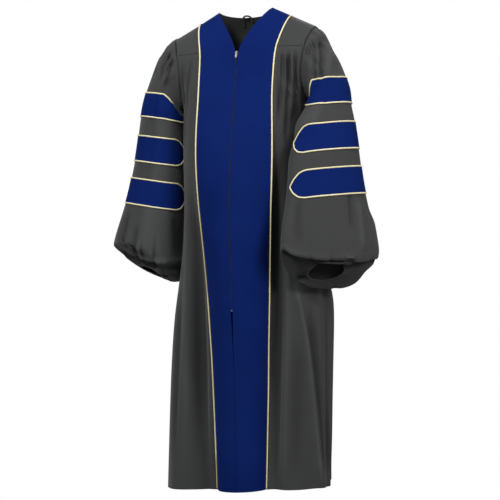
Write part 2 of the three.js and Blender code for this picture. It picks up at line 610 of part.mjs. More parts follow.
// Where a column of the sleeve crosses a bar edge, which rises to the outside
function sectionAtLevel(table, folds, angle, level, slope) {
  let [low, high] = [CAP_SECTIONS[CAP_SECTIONS.length - 1], CUFF_SECTIONS[0]];
  for (let i = 0; i < 24; i++) {
    const t = (low + high) / 2;
    const p = sleevePoint(table, folds, angle, t);
    if (p.z - slope * (p.x - BAR_CENTRE_X) > level) low = t;
    else high = t;
  }
  return (low + high) / 2;
}

function sleeveGrid(table, folds, slope) {
  const columns = sleeveAngles.map((angle) => {
    const sections = [...CAP_SECTIONS];
    for (const level of BARS.flatMap((bar) => [bar.top, bar.bottom])) {
      const crossing = sectionAtLevel(table, folds, angle, level, slope);
      sections.push(Math.max(crossing, sections[sections.length - 1] + SECTION_STEP));
    }
    return [...sections, ...CUFF_SECTIONS].map((t) => sleevePoint(table, folds, angle, t));
  });
  return columns[0].map((_, r) => columns.map((column) => column[r]));
}

// Half height of a bar's pointed end, as a share of the full bar, by degrees from the point
const pointedShare = (degrees) =>
  Math.sin((clamp(degrees / BAR_POINT, 0, 1) * Math.PI) / 2) ** BAR_POINT_ROUND / 2;

// The bar and its piping lie on the sleeve's own points, moved out; the cord runs round the bar's edge
function barPieces(grid, normals, bar, front, index) {
  const [topRow, bottomRow] = [CAP_SECTIONS.length + 2 * index, CAP_SECTIONS.length + 2 * index + 1];
  const count = sleeveAngles.length;
  const columnOf = (angle) =>
    sleeveAngles.findIndex((a) => Math.abs(((a - angle + 540) % 360) - 180) < 0.01);
  const first = columnOf(front);
  const span = (columnOf(bar.back) - first + count) % count;
  const height = grid[topRow][first].distanceTo(grid[bottomRow][first]);
  const cordShare = (PIPING_RADIUS + SEAM_GAP) / height;
  const velvetLift = (CLOTH + VELVET) / 2 + SEAM_GAP;
  const cordLift = CLOTH / 2 + PIPING_CLEAR + PIPING_RADIUS;
  // A point on the sleeve at a fractional column and a share of the way down the bar, moved out
  const onSleeve = (step, share, out) => {
    const low = Math.floor(step);
    const at = (c) => {
      const column = (first + c) % count;
      const place = (rows) => between(rows[topRow][column], rows[bottomRow][column], share);
      return place(grid).addScaledVector(place(normals).normalize(), out);
    };
    return step === low ? at(low) : between(at(low), at(low + 1), step - low);
  };
  const angleOf = (step) => {
    const low = Math.floor(step);
    const from = (c) => (sleeveAngles[(first + c) % count] - front + 720) % 360;
    return step === low ? from(low) : mix(from(low), from(low + 1), step - low);
  };
  const total = angleOf(span);
  const halfAt = (step) => Math.min(pointedShare(angleOf(step)), pointedShare(total - angleOf(step)));
  const inner = Array.from({ length: span - 1 }, (_, i) => i + 1);
  const velvetSteps = [BAR_TIP_SETBACK, ...inner, span - BAR_TIP_SETBACK];
  const inset = (step) => (halfAt(step) < 0.49 ? BAR_INSET.point : BAR_INSET.edge) * cordShare;
  const velvetHalf = (step) => Math.max(BAR_TIP_HALF, halfAt(step) - inset(step));
  const edges = [-1, 1].map((sign) =>
    velvetSteps.map((step) => onSleeve(step, 0.5 + sign * velvetHalf(step), velvetLift)),
  );
  const awayAt = (step, share) => onSleeve(step, share, 1).sub(onSleeve(step, share, 0));
  const edgeNormals = [-1, 1].map((sign) =>
    velvetSteps.map((step) => awayAt(step, 0.5 + sign * velvetHalf(step))),
  );
  const cordHalf = (step) => Math.max(0, halfAt(step) - cordShare);
  const run = [
    [0, 0],
    ...inner.map((step) => [step, -cordHalf(step)]),
    [span, 0],
    ...[...inner].reverse().map((step) => [step, cordHalf(step)]),
  ];
  const path = run.map(([step, half]) => onSleeve(step, 0.5 + half, cordLift));
  const away = run.map(([step, half]) => awayAt(step, 0.5 + half));
  return {
    velvet: wall(edges, VELVET, false, edgeNormals),
    piping: cord(path, away, PIPING_RADIUS, PIPING_RADIUS, 4, true),
  };
}

// Zip

// The zip follows the velvet panels' own rows, straight from one level to the next
function zipLine(z) {
  const i = clamp(BODY_LEVELS.findIndex((level) => level <= z), 1, BODY_LEVELS.length - 1);
  const share = (z - BODY_LEVELS[i - 1]) / (BODY_LEVELS[i] - BODY_LEVELS[i - 1]);
  const [upper, lower] = [panelRow(BODY_LEVELS[i - 1]), panelRow(BODY_LEVELS[i])];
  const fall = (row) => (row[1].y - row[0].y) / row[1].x;
  return { middle: between(upper[0], lower[0], share), fall: mix(fall(upper), fall(lower), share) };
}
const zipPoint = (z) => zipLine(z).middle;

// A strip along the zip line, between two distances behind the velvet's middle surface
function zipStrip({ half, front, back }, topZ, bottomZ) {
  const levels = [topZ, ...BODY_LEVELS.filter((z) => z < topZ && z > bottomZ), bottomZ];
  const rows = levels.map((z) => {
    const { middle, fall } = zipLine(z);
    return [-half, 0, half].map((x) => point(x, middle.y + (front + back) / 2 + Math.abs(x) * fall, z));
  });
  return wall(rows, back - front);
}

const wasm = await Module();
wasm.setup();

function asManifold(geometry) {
  const bare = geometry.index ? geometry.toNonIndexed() : geometry.clone();
  bare.deleteAttribute("normal");
  bare.deleteAttribute("uv");
  const merged = mergeVertices(bare, 1e-4);
  return new wasm.Manifold(
    new wasm.Mesh({
      numProp: 3,
      vertProperties: merged.attributes.position.array,
      triVerts: new Uint32Array(merged.index.array),
    }),
  );
}

function asGeometry(manifold) {
  const { vertProperties, triVerts } = manifold.getMesh();
  const geometry = new THREE.BufferGeometry();
  geometry.setAttribute("position", new THREE.BufferAttribute(vertProperties, 3));
  geometry.setIndex(new THREE.BufferAttribute(triVerts, 1));
  geometry.computeVertexNormals();
  return geometry;
}

const outline = (corners) => new THREE.Shape(corners.map(([x, y]) => new THREE.Vector2(x, y)));
function extruded(shape, depth) {
  const options = { depth, bevelEnabled: false, curveSegments: 6 };
  return new THREE.ExtrudeGeometry(shape, options).translate(0, 0, -depth / 2);
}

// A slider body with a stem in the zip gap, a front plate, and a bridge that carries the pull
function sliderGeometry() {
  const s = SLIDER;
  const section = outline([
    [-s.stemHalf, s.stemBack],
    [-s.stemHalf, s.plateBack],
    [-s.plateHalf, s.plateBack],
    [-s.plateHalf + 0.8, SLIDER_FRONT],
    [s.plateHalf - 0.8, SLIDER_FRONT],
    [s.plateHalf, s.plateBack],
    [s.stemHalf, s.plateBack],
    [s.stemHalf, s.stemBack],
  ]);
  const body = extruded(section, s.height);
  const root = SLIDER_FRONT + 0.4;
  const [out, inside] = [SLIDER_FRONT - BRIDGE.reach, SLIDER_FRONT - BRIDGE.reach + BRIDGE.bar];
  const hook = outline([
    [root, BRIDGE.top],
    [out + 0.8, BRIDGE.top],
    [out, BRIDGE.top - 0.8],
    [out, BRIDGE.bottom + 0.8],
    [out + 0.8, BRIDGE.bottom],
    [root, BRIDGE.bottom],
    [root, BRIDGE.bottom + BRIDGE.bar],
    [inside, BRIDGE.bottom + BRIDGE.bar],
    [inside, BRIDGE.top - BRIDGE.bar],
    [root, BRIDGE.top - BRIDGE.bar],
  ]);
  // The hook's outline is drawn in distance forward and height, so it is turned to stand across the zip
  const bridge = extruded(hook, 2 * BRIDGE.half).applyMatrix4(
    new THREE.Matrix4().makeBasis(point(0, 1, 0), point(0, 0, 1), point(1, 0, 0)),
  );
  return asGeometry(asManifold(body).add(asManifold(bridge)));
}

// The pull tab hangs on a bar under the bridge; its slot clears the bridge as it swings
function pullGeometry() {
  const p = PULL;
  const tab = new THREE.Shape();
  tab.moveTo(-p.half, p.bar);
  tab.lineTo(p.half, p.bar);
  tab.lineTo(p.half, p.half - p.length);
  tab.absarc(0, p.half - p.length, p.half, 0, -Math.PI, true);
  const slot = outline([
    [-p.armHalf, -p.bar],
    [-p.armHalf, -p.slot],
    [p.armHalf, -p.slot],
    [p.armHalf, -p.bar],
  ]);
  tab.holes.push(slot);
  return extruded(tab, p.thick).rotateX(Math.PI / 2);
}

function hangerLoop() {
  const path = [];
  const normals = [];
  const inwards = CLOTH / 2 + LOOP.clear + LOOP.thick / 2;
  // The place along the yoke whose neckline point stands at a given distance from the middle
  const placeOf = (x) => 0.5 + Math.acos(clamp(Math.abs(x) / NECK_HALF, 0, 1)) / Math.PI;
  const onYoke = (x, t) => {
    const column = backYokeColumn(placeOf(x));
    const p = column(t);
    const down = column(t + 0.02).sub(column(t)).normalize();
    const inside = point(0, -down.z, down.y).multiplyScalar(down.z < 0 ? -1 : 1).normalize();
    return { p: point(x, p.y, p.z).addScaledVector(inside, inwards), inside };
  };
  const leg = (x, shares) =>
    shares.forEach((t) => {
      const { p, inside } = onYoke(x, t);
      path.push(p);
      normals.push(inside);
    });
  const shares = [LOOP.sewn, LOOP.sewn * 0.66, LOOP.sewn * 0.33];
  leg(LOOP.x - LOOP.half, shares);
  for (const t of steps(LOOP.steps)) {
    const turn = Math.PI * t;
    const { p, inside } = onYoke(LOOP.x - LOOP.half * Math.cos(turn), 0.02);
    const upwards = point(0, -inside.z, inside.y).multiplyScalar(inside.y < 0 ? -1 : 1);
    path.push(p.addScaledVector(upwards, LOOP.rise * Math.sin(turn)));
    normals.push(inside);
  }
  leg(LOOP.x + LOOP.half, [...shares].reverse());
  return cord(path, normals, LOOP.width / 4, LOOP.thick / 2, 4, false);
}

// Assembly

const gown = new THREE.Group();
const finish = (color, roughness, metalness = 0) => () =>
  new THREE.MeshStandardMaterial({ color, roughness, metalness });
const cloth = finish(COLOURS.cloth, 0.75);
const velvet = finish(COLOURS.velvet, 0.95);
const piping = finish(COLOURS.piping, 0.5);
const tape = finish(COLOURS.tape, 0.8);
const metal = finish(COLOURS.metal, 0.35, 0.9);

function add(name, geometry, material, parent = gown) {
  const mesh = new THREE.Mesh(geometry, material());
  mesh.name = name;
  parent.add(mesh);
}

for (const side of ["left", "right"]) {
  add(`front_${side}`, frontPiece(side), cloth);
  add(`yoke_front_${side}`, frontYoke(side), cloth);
  add(`panel_${side}`, velvetPanel(side), velvet);
  add(`panel_piping_${side}`, panelPiping(side), piping);

  const [table, folds] =
    side === "left" ? [LEFT_SLEEVE, LEFT_SLEEVE_FOLDS] : [RIGHT_SLEEVE, RIGHT_SLEEVE_FOLDS];
  const flat = sleeveGrid(table, folds, BAR_SLOPE[side]);
  const grid = mirrored(flat, side);
  const outwards = mirrored(gridNormals(flat, true), side);
  add(`sleeve_${side}`, wall(grid, CLOTH, true, outwards), cloth);
  BARS.forEach((bar, i) => {
    const pieces = barPieces(grid, outwards, bar, bar.front[side], i);
    add(`bar_${side}_${i + 1}`, pieces.velvet, velvet);
    add(`bar_piping_${side}_${i + 1}`, pieces.piping, piping);
  });
}
add("back", backPiece(), cloth);
add("yoke_back", backYoke(), cloth);
add("hanger_loop", hangerLoop(), cloth);

add("zip_chain", zipStrip(CHAIN, ZIP_TOP_Z, ZIP_END_Z), metal);
add("zip_tape", zipStrip(TAPE, ZIP_TOP_Z, ZIP_END_Z - STOP.height), tape);

const sliderGroup = new THREE.Group();
const [above, below] = [zipPoint(SLIDER.z + 6), zipPoint(SLIDER.z - 6)];
sliderGroup.position.copy(zipPoint(SLIDER.z));
sliderGroup.rotation.x = Math.atan2(-(above.y - below.y), above.z - below.z);
add("zip_slider", sliderGeometry(), metal, sliderGroup);
const pullGroup = new THREE.Group();
pullGroup.position.set(0, PULL.y, PULL.z);
add("zip_pull", pullGeometry(), metal, pullGroup);
sliderGroup.add(pullGroup);
gown.add(sliderGroup);

const stopGroup = new THREE.Group();
stopGroup.position.copy(zipPoint(ZIP_END_Z - SEAM_GAP - STOP.height / 2));
add("zip_stop", new THREE.BoxGeometry(2 * STOP.half, STOP.depth, STOP.height), metal, stopGroup);
gown.add(stopGroup);

export default gown;
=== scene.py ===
import math
import random

import bmesh
import bpy
import numpy as np
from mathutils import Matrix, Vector
from mathutils.bvhtree import BVHTree


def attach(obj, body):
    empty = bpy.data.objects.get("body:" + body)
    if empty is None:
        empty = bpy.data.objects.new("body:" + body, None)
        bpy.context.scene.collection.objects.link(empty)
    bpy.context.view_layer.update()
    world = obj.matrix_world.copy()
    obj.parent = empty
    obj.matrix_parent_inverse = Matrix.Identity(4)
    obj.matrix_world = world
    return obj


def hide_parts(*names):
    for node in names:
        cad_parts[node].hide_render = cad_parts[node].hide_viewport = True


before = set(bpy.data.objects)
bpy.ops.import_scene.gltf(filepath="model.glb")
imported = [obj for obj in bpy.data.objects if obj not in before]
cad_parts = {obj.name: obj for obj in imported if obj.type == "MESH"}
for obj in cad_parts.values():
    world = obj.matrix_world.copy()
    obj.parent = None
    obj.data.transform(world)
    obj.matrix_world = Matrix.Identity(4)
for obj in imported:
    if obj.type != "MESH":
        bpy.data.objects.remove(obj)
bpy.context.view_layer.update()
mm = 0.001  # the sizes in the tables below are millimetres
shoulderTilt = 0.045  # the wearer's left side hangs this much higher for each unit across
print("frame loaded")

# Camera and stage

camera = {
    "azimuth": 17,  # degrees towards the wearer's left
    "distance": 4200,
    "height": -678,
    "aimRight": 11,
    "frameWidth": 1415,  # width of the picture at the gown's axis
    "sensor": 36,
}
stage = {
    "floorZ": -1500,
    "floorSize": 9000,
    "white": (1.0, 1.0, 1.0),
    "paper": (0.16, 0.16, 0.16),
    "ambient": 0.4,  # share of the white surroundings that lights the gown
}
lights = [
    # name, place, aims at, size, power, colour
    ("key", (-900, -3200, 1900), (0, 0, -600), 900, 124, (1.0, 1.0, 0.99)),
    ("fill", (3000, -1800, 500), (0, 0, -700), 1200, 62, (1.0, 0.99, 0.97)),
    ("rear", (-600, 3200, 1500), (0, 0, -500), 2200, 60, (0.97, 0.98, 1.0)),
]


def makeCamera():
    turn = math.radians(camera["azimuth"])
    right = Vector((math.cos(turn), math.sin(turn), 0))
    back = Vector((math.sin(turn), -math.cos(turn), 0))
    data = bpy.data.cameras.new("camera")
    data.sensor_width = camera["sensor"]
    data.lens = camera["sensor"] * camera["distance"] / camera["frameWidth"]
    view = bpy.data.objects.new("camera", data)
    bpy.context.scene.collection.objects.link(view)
    level = Vector((0, 0, camera["height"]))
    view.location = (level + back * camera["distance"] + right * camera["aimRight"]) * mm
    view.rotation_euler = (math.pi / 2, 0, turn)
    bpy.context.scene.camera = view


def cameraOnly(tree, seen, other, output):
    # the picture sees one shader and the light sees another
    path = tree.nodes.new("ShaderNodeLightPath")
    mix = tree.nodes.new("ShaderNodeMixShader")
    tree.links.new(path.outputs["Is Camera Ray"], mix.inputs["Fac"])
    tree.links.new(other, mix.inputs[1])
    tree.links.new(seen, mix.inputs[2])
    tree.links.new(mix.outputs[0], output)


def makeStage():
    world = bpy.data.worlds.new("studio")
    bpy.context.scene.world = world
    world.use_nodes = True
    tree = world.node_tree
    tree.nodes.clear()
    seen, soft = tree.nodes.new("ShaderNodeBackground"), tree.nodes.new("ShaderNodeBackground")
    for shader, strength in ((seen, 1.0), (soft, stage["ambient"])):
        shader.inputs["Color"].default_value = (*stage["white"], 1)
        shader.inputs["Strength"].default_value = strength
    output = tree.nodes.new("ShaderNodeOutputWorld")
    cameraOnly(tree, seen.outputs[0], soft.outputs[0], output.inputs["Surface"])

    bpy.ops.object.select_all(action="DESELECT")
    bpy.ops.mesh.primitive_plane_add(size=stage["floorSize"] * mm, location=(0, 0, stage["floorZ"] * mm))
    floor = bpy.context.object
    floor.name = "studio_floor"
    paper = bpy.data.materials.new("studio paper")
    paper.use_nodes = True
    tree = paper.node_tree
    tree.nodes.clear()
    glow = tree.nodes.new("ShaderNodeEmission")
    glow.inputs["Color"].default_value = (*stage["white"], 1)
    matt = tree.nodes.new("ShaderNodeBsdfDiffuse")
    matt.inputs["Color"].default_value = (*stage["paper"], 1)
    output = tree.nodes.new("ShaderNodeOutputMaterial")
    cameraOnly(tree, glow.outputs[0], matt.outputs[0], output.inputs["Surface"])
    floor.data.materials.append(paper)

    for name, place, target, size, power, colour in lights:
        data = bpy.data.lights.new(name, "AREA")
        data.shape = "DISK"
        data.size = size * mm
        data.energy = power
        data.color = colour
        lamp = bpy.data.objects.new(name, data)
        bpy.context.scene.collection.objects.link(lamp)
        lamp.location = Vector(place) * mm
        aim = (Vector(target) - Vector(place)).to_track_quat("-Z", "Y")
        lamp.rotation_euler = aim.to_euler()
    bpy.context.scene.view_settings.view_transform = "Standard"


makeCamera()
makeStage()
print("camera, floor and lights in place")

# Finishes


def nodeGroup(name, inputs, outputs):
    group = bpy.data.node_groups.new(name, "ShaderNodeTree")
    for label, kind, value in inputs:
        socket = group.interface.new_socket(label, in_out="INPUT", socket_type=kind)
        if value is not None:
            socket.default_value = value
    for label, kind in outputs:
        group.interface.new_socket(label, in_out="OUTPUT", socket_type=kind)
    start = group.nodes.new("NodeGroupInput")
    end = group.nodes.new("NodeGroupOutput")
    return group, start, end


def mathNode(tree, operation, a, b=None):
    node = tree.nodes.new("ShaderNodeMath")
    node.operation = operation
    for socket, value in zip(node.inputs, (a, b)):
        if isinstance(value, (int, float)):
            socket.default_value = value
        elif value is not None:
            tree.links.new(value, socket)
    return node.outputs[0]


def twillGroup():
    # fine diagonal ribs crossed by a plain thread, on the cloth's own map in metres
    tree, start, end = nodeGroup(
        "twill weave",
        [("Map", "NodeSocketVector", None), ("Pitch", "NodeSocketFloat", 0.001)],
        [("Height", "NodeSocketFloat")],
    )
    axes = tree.nodes.new("ShaderNodeSeparateXYZ")
    tree.links.new(start.outputs["Map"], axes.inputs[0])
    turns = mathNode(tree, "DIVIDE", 2 * math.pi, start.outputs["Pitch"])
    across = mathNode(tree, "ADD", axes.outputs["X"], axes.outputs["Y"])
    rib = mathNode(tree, "SINE", mathNode(tree, "MULTIPLY", across, turns))
    closer = mathNode(tree, "MULTIPLY", turns, 2)
    thread = mathNode(tree, "MULTIPLY", axes.outputs["Y"], closer)
    weft = mathNode(tree, "MULTIPLY", mathNode(tree, "SINE", thread), 0.4)
    tree.links.new(mathNode(tree, "ADD", rib, weft), end.inputs["Height"])
    return tree


def patchGroup():
    # slow changes of tone over the cloth, with a little fine fleck
    tree, start, end = nodeGroup(
        "cloth tone",
        [
            ("Place", "NodeSocketVector", None),
            ("Size", "NodeSocketFloat", 4.0),
            ("Fleck", "NodeSocketFloat", 900.0),
        ],
        [("Tone", "NodeSocketFloat")],
    )
    parts = []
    for scale, detail, share in (("Size", 3, 0.65), ("Fleck", 2, 0.35)):
        noise = tree.nodes.new("ShaderNodeTexNoise")
        noise.inputs["Detail"].default_value = detail
        tree.links.new(start.outputs["Place"], noise.inputs["Vector"])
        tree.links.new(start.outputs[scale], noise.inputs["Scale"])
        parts.append(mathNode(tree, "MULTIPLY", noise.outputs["Fac"], share))
    tree.links.new(mathNode(tree, "ADD", *parts), end.inputs["Tone"])
    return tree


twill = twillGroup()
clothTone = patchGroup()


def newFinish(name, plain):
    # plain holds the values that are the same all over
    finish = bpy.data.materials.new(name)
    finish.use_nodes = True
    shader = finish.node_tree.nodes["Principled BSDF"]
    for label, value in plain.items():
        shader.inputs[label].default_value = value
    return finish, finish.node_tree, shader


def toneRamp(tree, factor, dark, light, low=0.3, high=0.7):
    ramp = tree.nodes.new("ShaderNodeValToRGB")
    ramp.color_ramp.elements[0].position = low
    ramp.color_ramp.elements[1].position = high
    ramp.color_ramp.elements[0].color = (*dark, 1)
    ramp.color_ramp.elements[1].color = (*light, 1)
    tree.links.new(factor, ramp.inputs["Fac"])
    return ramp.outputs["Color"]


def bumpInto(tree, shader, height, distance, strength=1.0):
    bump = tree.nodes.new("ShaderNodeBump")
    bump.inputs["Distance"].default_value = distance
    bump.inputs["Strength"].default_value = strength
    tree.links.new(height, bump.inputs["Height"])
    tree.links.new(bump.outputs["Normal"], shader.inputs["Normal"])


def placed(tree, group, **values):
    node = tree.nodes.new("ShaderNodeGroup")
    node.node_tree = group
    for label, value in values.items():
        node.inputs[label].default_value = value
    return node


def paintFoldShadeAndHighlight(tree, colour, dark, light):
    # painted shade darkens the cloth's colour down in its creases, and a painted highlight makes it paler
    # along their ridges
    fold = tree.nodes.new("ShaderNodeAttribute")
    fold.attribute_name = "fold"
    share = 1.0
    for limit, change in (("MINIMUM", dark), ("MAXIMUM", light)):
        part = mathNode(tree, limit, fold.outputs["Fac"], 0.0)
        share = mathNode(tree, "ADD", mathNode(tree, "MULTIPLY", part, change), share)
    scaled = tree.nodes.new("ShaderNodeVectorMath")
    scaled.operation = "SCALE"
    tree.links.new(colour, scaled.inputs[0])
    tree.links.new(share, scaled.inputs["Scale"])
    return scaled.outputs[0]


# size and fleck are the scales of the slow and the fine changes between the dark and the light tone,
# and the fold entry says how much painted shade darkens troughs and how much painted highlight lightens
# ridges
tones = {
    "charcoal suiting": {
        "size": 5.0, "fleck": 1400.0, "dark": (0.025, 0.0262, 0.0266), "light": (0.034, 0.0352, 0.0354),
        "folds": (0.62, 0.55),
        "plain": {
            "Roughness": 0.72, "Specular IOR Level": 0.35, "Sheen Weight": 0.12, "Sheen Roughness": 0.5,
        },
    },
    "royal blue velvet": {
        "size": 7.0, "fleck": 2200.0, "dark": (0.0024, 0.0112, 0.092), "light": (0.0036, 0.0162, 0.118),
        "plain": {
            "Roughness": 0.9, "Specular IOR Level": 0.05, "Sheen Weight": 0.07, "Sheen Roughness": 0.35,
            "Sheen Tint": (0.12, 0.3, 1.0, 1),
        },
    },
    # very dark cords that paint the shadow down in the seams
    "painted seam shadow": {
        "size": 60.0, "fleck": 1400.0, "dark": (0.006, 0.006, 0.006), "light": (0.011, 0.011, 0.0105),
        "plain": {"Roughness": 0.9, "Specular IOR Level": 0.1},
    },
    "dark zip tape": {
        "size": 40.0, "fleck": 1600.0, "dark": (0.010, 0.012, 0.030), "light": (0.020, 0.024, 0.05),
        "plain": {"Roughness": 0.8},
    },
    "dark zip coil": {
        "size": 60.0, "fleck": 900.0, "dark": (0.008, 0.012, 0.03), "light": (0.015, 0.021, 0.045),
        "plain": {"Roughness": 0.6, "Specular IOR Level": 0.2},
    },
    "nickel plate": {
        "size": 90.0, "fleck": 1200.0, "dark": (0.09, 0.09, 0.095), "light": (0.2, 0.2, 0.21),
        "plain": {"Metallic": 1.0},
    },
}
weavePitch = 0.0011
pile = {"scale": 3200, "height": 0.0003}
# of the two piping colours, the first is painted shade on the cord's sides and the second its own pale gold
# facing out
twist = {"pitch": 0.0022, "height": 0.0003, "paintedSideShade": (0.22, 0.13, 0.03), "facing": (0.83, 0.75, 0.46)}
nickelRoughness = (0.36, 0.55)


def tonedFinish(name):
    settings = tones[name]
    finish, tree, shader = newFinish(name, settings["plain"])
    place = tree.nodes.new("ShaderNodeTexCoord")
    tone = placed(tree, clothTone, Size=settings["size"], Fleck=settings["fleck"])
    tree.links.new(place.outputs["Object"], tone.inputs["Place"])
    colour = toneRamp(tree, tone.outputs["Tone"], settings["dark"], settings["light"])
    # painted shade in the creases and painted highlight on the ridges
    if "folds" in settings:
        colour = paintFoldShadeAndHighlight(tree, colour, *settings["folds"])
    tree.links.new(colour, shader.inputs["Base Color"])
    return finish, tree, shader, place, tone.outputs["Tone"]


def gownClothFinish():
    # matt suiting, with a faint sheen on the bends
    finish, tree, shader, place, tone = tonedFinish("charcoal suiting")
    weave = placed(tree, twill, Pitch=weavePitch)
    tree.links.new(place.outputs["UV"], weave.inputs["Map"])
    bumpInto(tree, shader, weave.outputs["Height"], 0.00012, 0.6)
    return finish


def velvetFinish():
    # a short pile with slightly brushed patches
    finish, tree, shader, place, tone = tonedFinish("royal blue velvet")
    nap = tree.nodes.new("ShaderNodeTexNoise")
    nap.inputs["Scale"].default_value = pile["scale"]
    nap.inputs["Detail"].default_value = 2
    tree.links.new(place.outputs["Object"], nap.inputs["Vector"])
    bumpInto(tree, shader, nap.outputs["Fac"], pile["height"], 0.5)
    return finish


def pipingFinish():
    # pale gold cord with a fine twist, with painted shade darkening its sides where they sink into the seam
    finish, tree, shader = newFinish("pale gold piping", {"Roughness": 0.45, "Sheen Weight": 0.1})
    place = tree.nodes.new("ShaderNodeTexCoord")
    axes = tree.nodes.new("ShaderNodeSeparateXYZ")
    tree.links.new(place.outputs["UV"], axes.inputs[0])
    # the map runs along the cord in metres and once round it, with 0.25 facing out
    facing = mathNode(tree, "SINE", mathNode(tree, "MULTIPLY", axes.outputs["Y"], 2 * math.pi))
    # painted shade on the sides, pale gold where the cord faces out
    colour = toneRamp(tree, facing, twist["paintedSideShade"], twist["facing"], 0.1, 0.85)
    tree.links.new(colour, shader.inputs["Base Color"])
    along = mathNode(tree, "MULTIPLY", axes.outputs["X"], 2 * math.pi / twist["pitch"])
    around = mathNode(tree, "MULTIPLY", axes.outputs["Y"], 4 * math.pi)
    turns = mathNode(tree, "SINE", mathNode(tree, "ADD", along, around))
    bumpInto(tree, shader, turns, twist["height"], 0.5)
    return finish


def zipTapeFinish():
    finish, tree, shader, place, tone = tonedFinish("dark zip tape")
    bumpInto(tree, shader, tone, 0.0002, 0.6)
    return finish


def nickelFinish():
    # worn plate, with fine rubbing marks
    finish, tree, shader, place, tone = tonedFinish("nickel plate")
    rough = tree.nodes.new("ShaderNodeMapRange")
    for label, value in zip(("To Min", "To Max"), nickelRoughness):
        rough.inputs[label].default_value = value
    tree.links.new(tone, rough.inputs["Value"])
    tree.links.new(rough.outputs[0], shader.inputs["Roughness"])
    return finish


gownCloth = gownClothFinish()
velvet = velvetFinish()
goldPiping = pipingFinish()
zipTape = zipTapeFinish()
# the dark finish of the cords of painted shadow along the seams
seamShade = tonedFinish("painted seam shadow")[0]
zipCoil = tonedFinish("dark zip coil")[0]
nickel = nickelFinish()
print("finishes made")

# Tools for cloth


def makeObject(name, mesh):
    piece = bpy.data.objects.new(name, mesh)
    bpy.context.scene.collection.objects.link(piece)
    return piece


def meshOf(name, points, faces):
    mesh = bpy.data.meshes.new(name)
    mesh.from_pydata([tuple(p) for p in points], [], faces)
    return mesh


def shapeOf(mesh):
    shape = bmesh.new()
    shape.from_mesh(mesh)
    return shape


def keepShape(shape, mesh):
    shape.to_mesh(mesh)
    shape.free()


def pickOnly(piece):
    bpy.ops.object.select_all(action="DESELECT")
    piece.select_set(True)
    bpy.context.view_layer.objects.active = piece


def applyModifier(piece, kind, **settings):
    pickOnly(piece)
    modifier = piece.modifiers.new(kind.lower(), kind)
    for label, value in settings.items():
        setattr(modifier, label, value)
    bpy.ops.object.modifier_apply(modifier=modifier.name)


def editWhole(piece, operator, **settings):
    # runs an operator on all of a mesh
    pickOnly(piece)
    bpy.ops.object.mode_set(mode="EDIT")
    bpy.ops.mesh.select_all(action="SELECT")
    operator(**settings)
    bpy.ops.object.mode_set(mode="OBJECT")


def sizedObject(size):
    # the object that was just made, scaled from its unit size
    piece = bpy.context.object
    piece.scale = [length * mm for length in size]
    bpy.ops.object.transform_apply(scale=True)
    return piece


def finishPiece(piece, finish, node=None, body="gown"):
    # node is the solid of the frame that the piece stands for
    piece.data.materials.append(finish)
    if node:
        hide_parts(node)
    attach(piece, body)


def shadeSmooth(piece, degrees):
    pickOnly(piece)
    bpy.ops.object.shade_smooth_by_angle(angle=math.radians(degrees))


def vertexPlaces(mesh):
    places = np.empty(len(mesh.vertices) * 3)
    mesh.vertices.foreach_get("co", places)
    return places.reshape(-1, 3)


def vertexNormals(mesh):
    normals = np.empty(len(mesh.vertices) * 3, np.float32)
    mesh.vertex_normals.foreach_get("vector", normals)
    return normals.reshape(-1, 3).astype(float)


def setPlaces(mesh, places):
    mesh.vertices.foreach_set("co", places.ravel())
    mesh.update()


def eased(value):
    value = np.clip(value, 0, 1)
    return value * value * (3 - 2 * value)


def groupsOf(items, nearOf):
    # items that hang together, each group in the order in which it was reached
    left, groups = dict.fromkeys(items), []
    while left:
        first = next(iter(left))
        del left[first]
        group, waiting = [first], [first]
        while waiting:
            for near in nearOf(waiting.pop()):
                if near in left:
                    del left[near]
                    group.append(near)
                    waiting.append(near)
        groups.append(group)
    return groups


def facesBeside(face):
    return [near for edge in face.edges for near in edge.link_faces]


def sortEdges(shape):
    # the three runs of edges in a grid of triangles: the diagonals are the run that no border has
    kinds = {}
    first = next(iter(shape.faces))
    for i, loop in enumerate(first.loops):
        kinds[loop.edge] = i
    waiting, seen = [first], {first}
    while waiting:
        face = waiting.pop()
        for edge in face.edges:
            for near in edge.link_faces:
                if near in seen:
                    continue
                seen.add(near)
                waiting.append(near)
                loops = list(near.loops)
                start = next(i for i, loop in enumerate(loops) if loop.edge == edge)
                for step in range(3):
                    kinds[loops[(start + step) % 3].edge] = (kinds[edge] + step) % 3
    runs = [[edge for edge, kind in kinds.items() if kind == k] for k in range(3)]
    inner = [run for run in runs if not any(edge.is_boundary for edge in run)]
    diagonals = max(inner, key=lambda run: sum(edge.calc_length() for edge in run))
    return diagonals, [run for run in runs if run is not diagonals]


# edges within rimShare of a wall's thickness are its rim; a sleeve's folds below foldBelow that turn by
# more than foldAngle stay sharp
skin = {"rimShare": 0.04, "foldBelow": -620, "foldAngle": 34, "foldSharpness": 0.92}


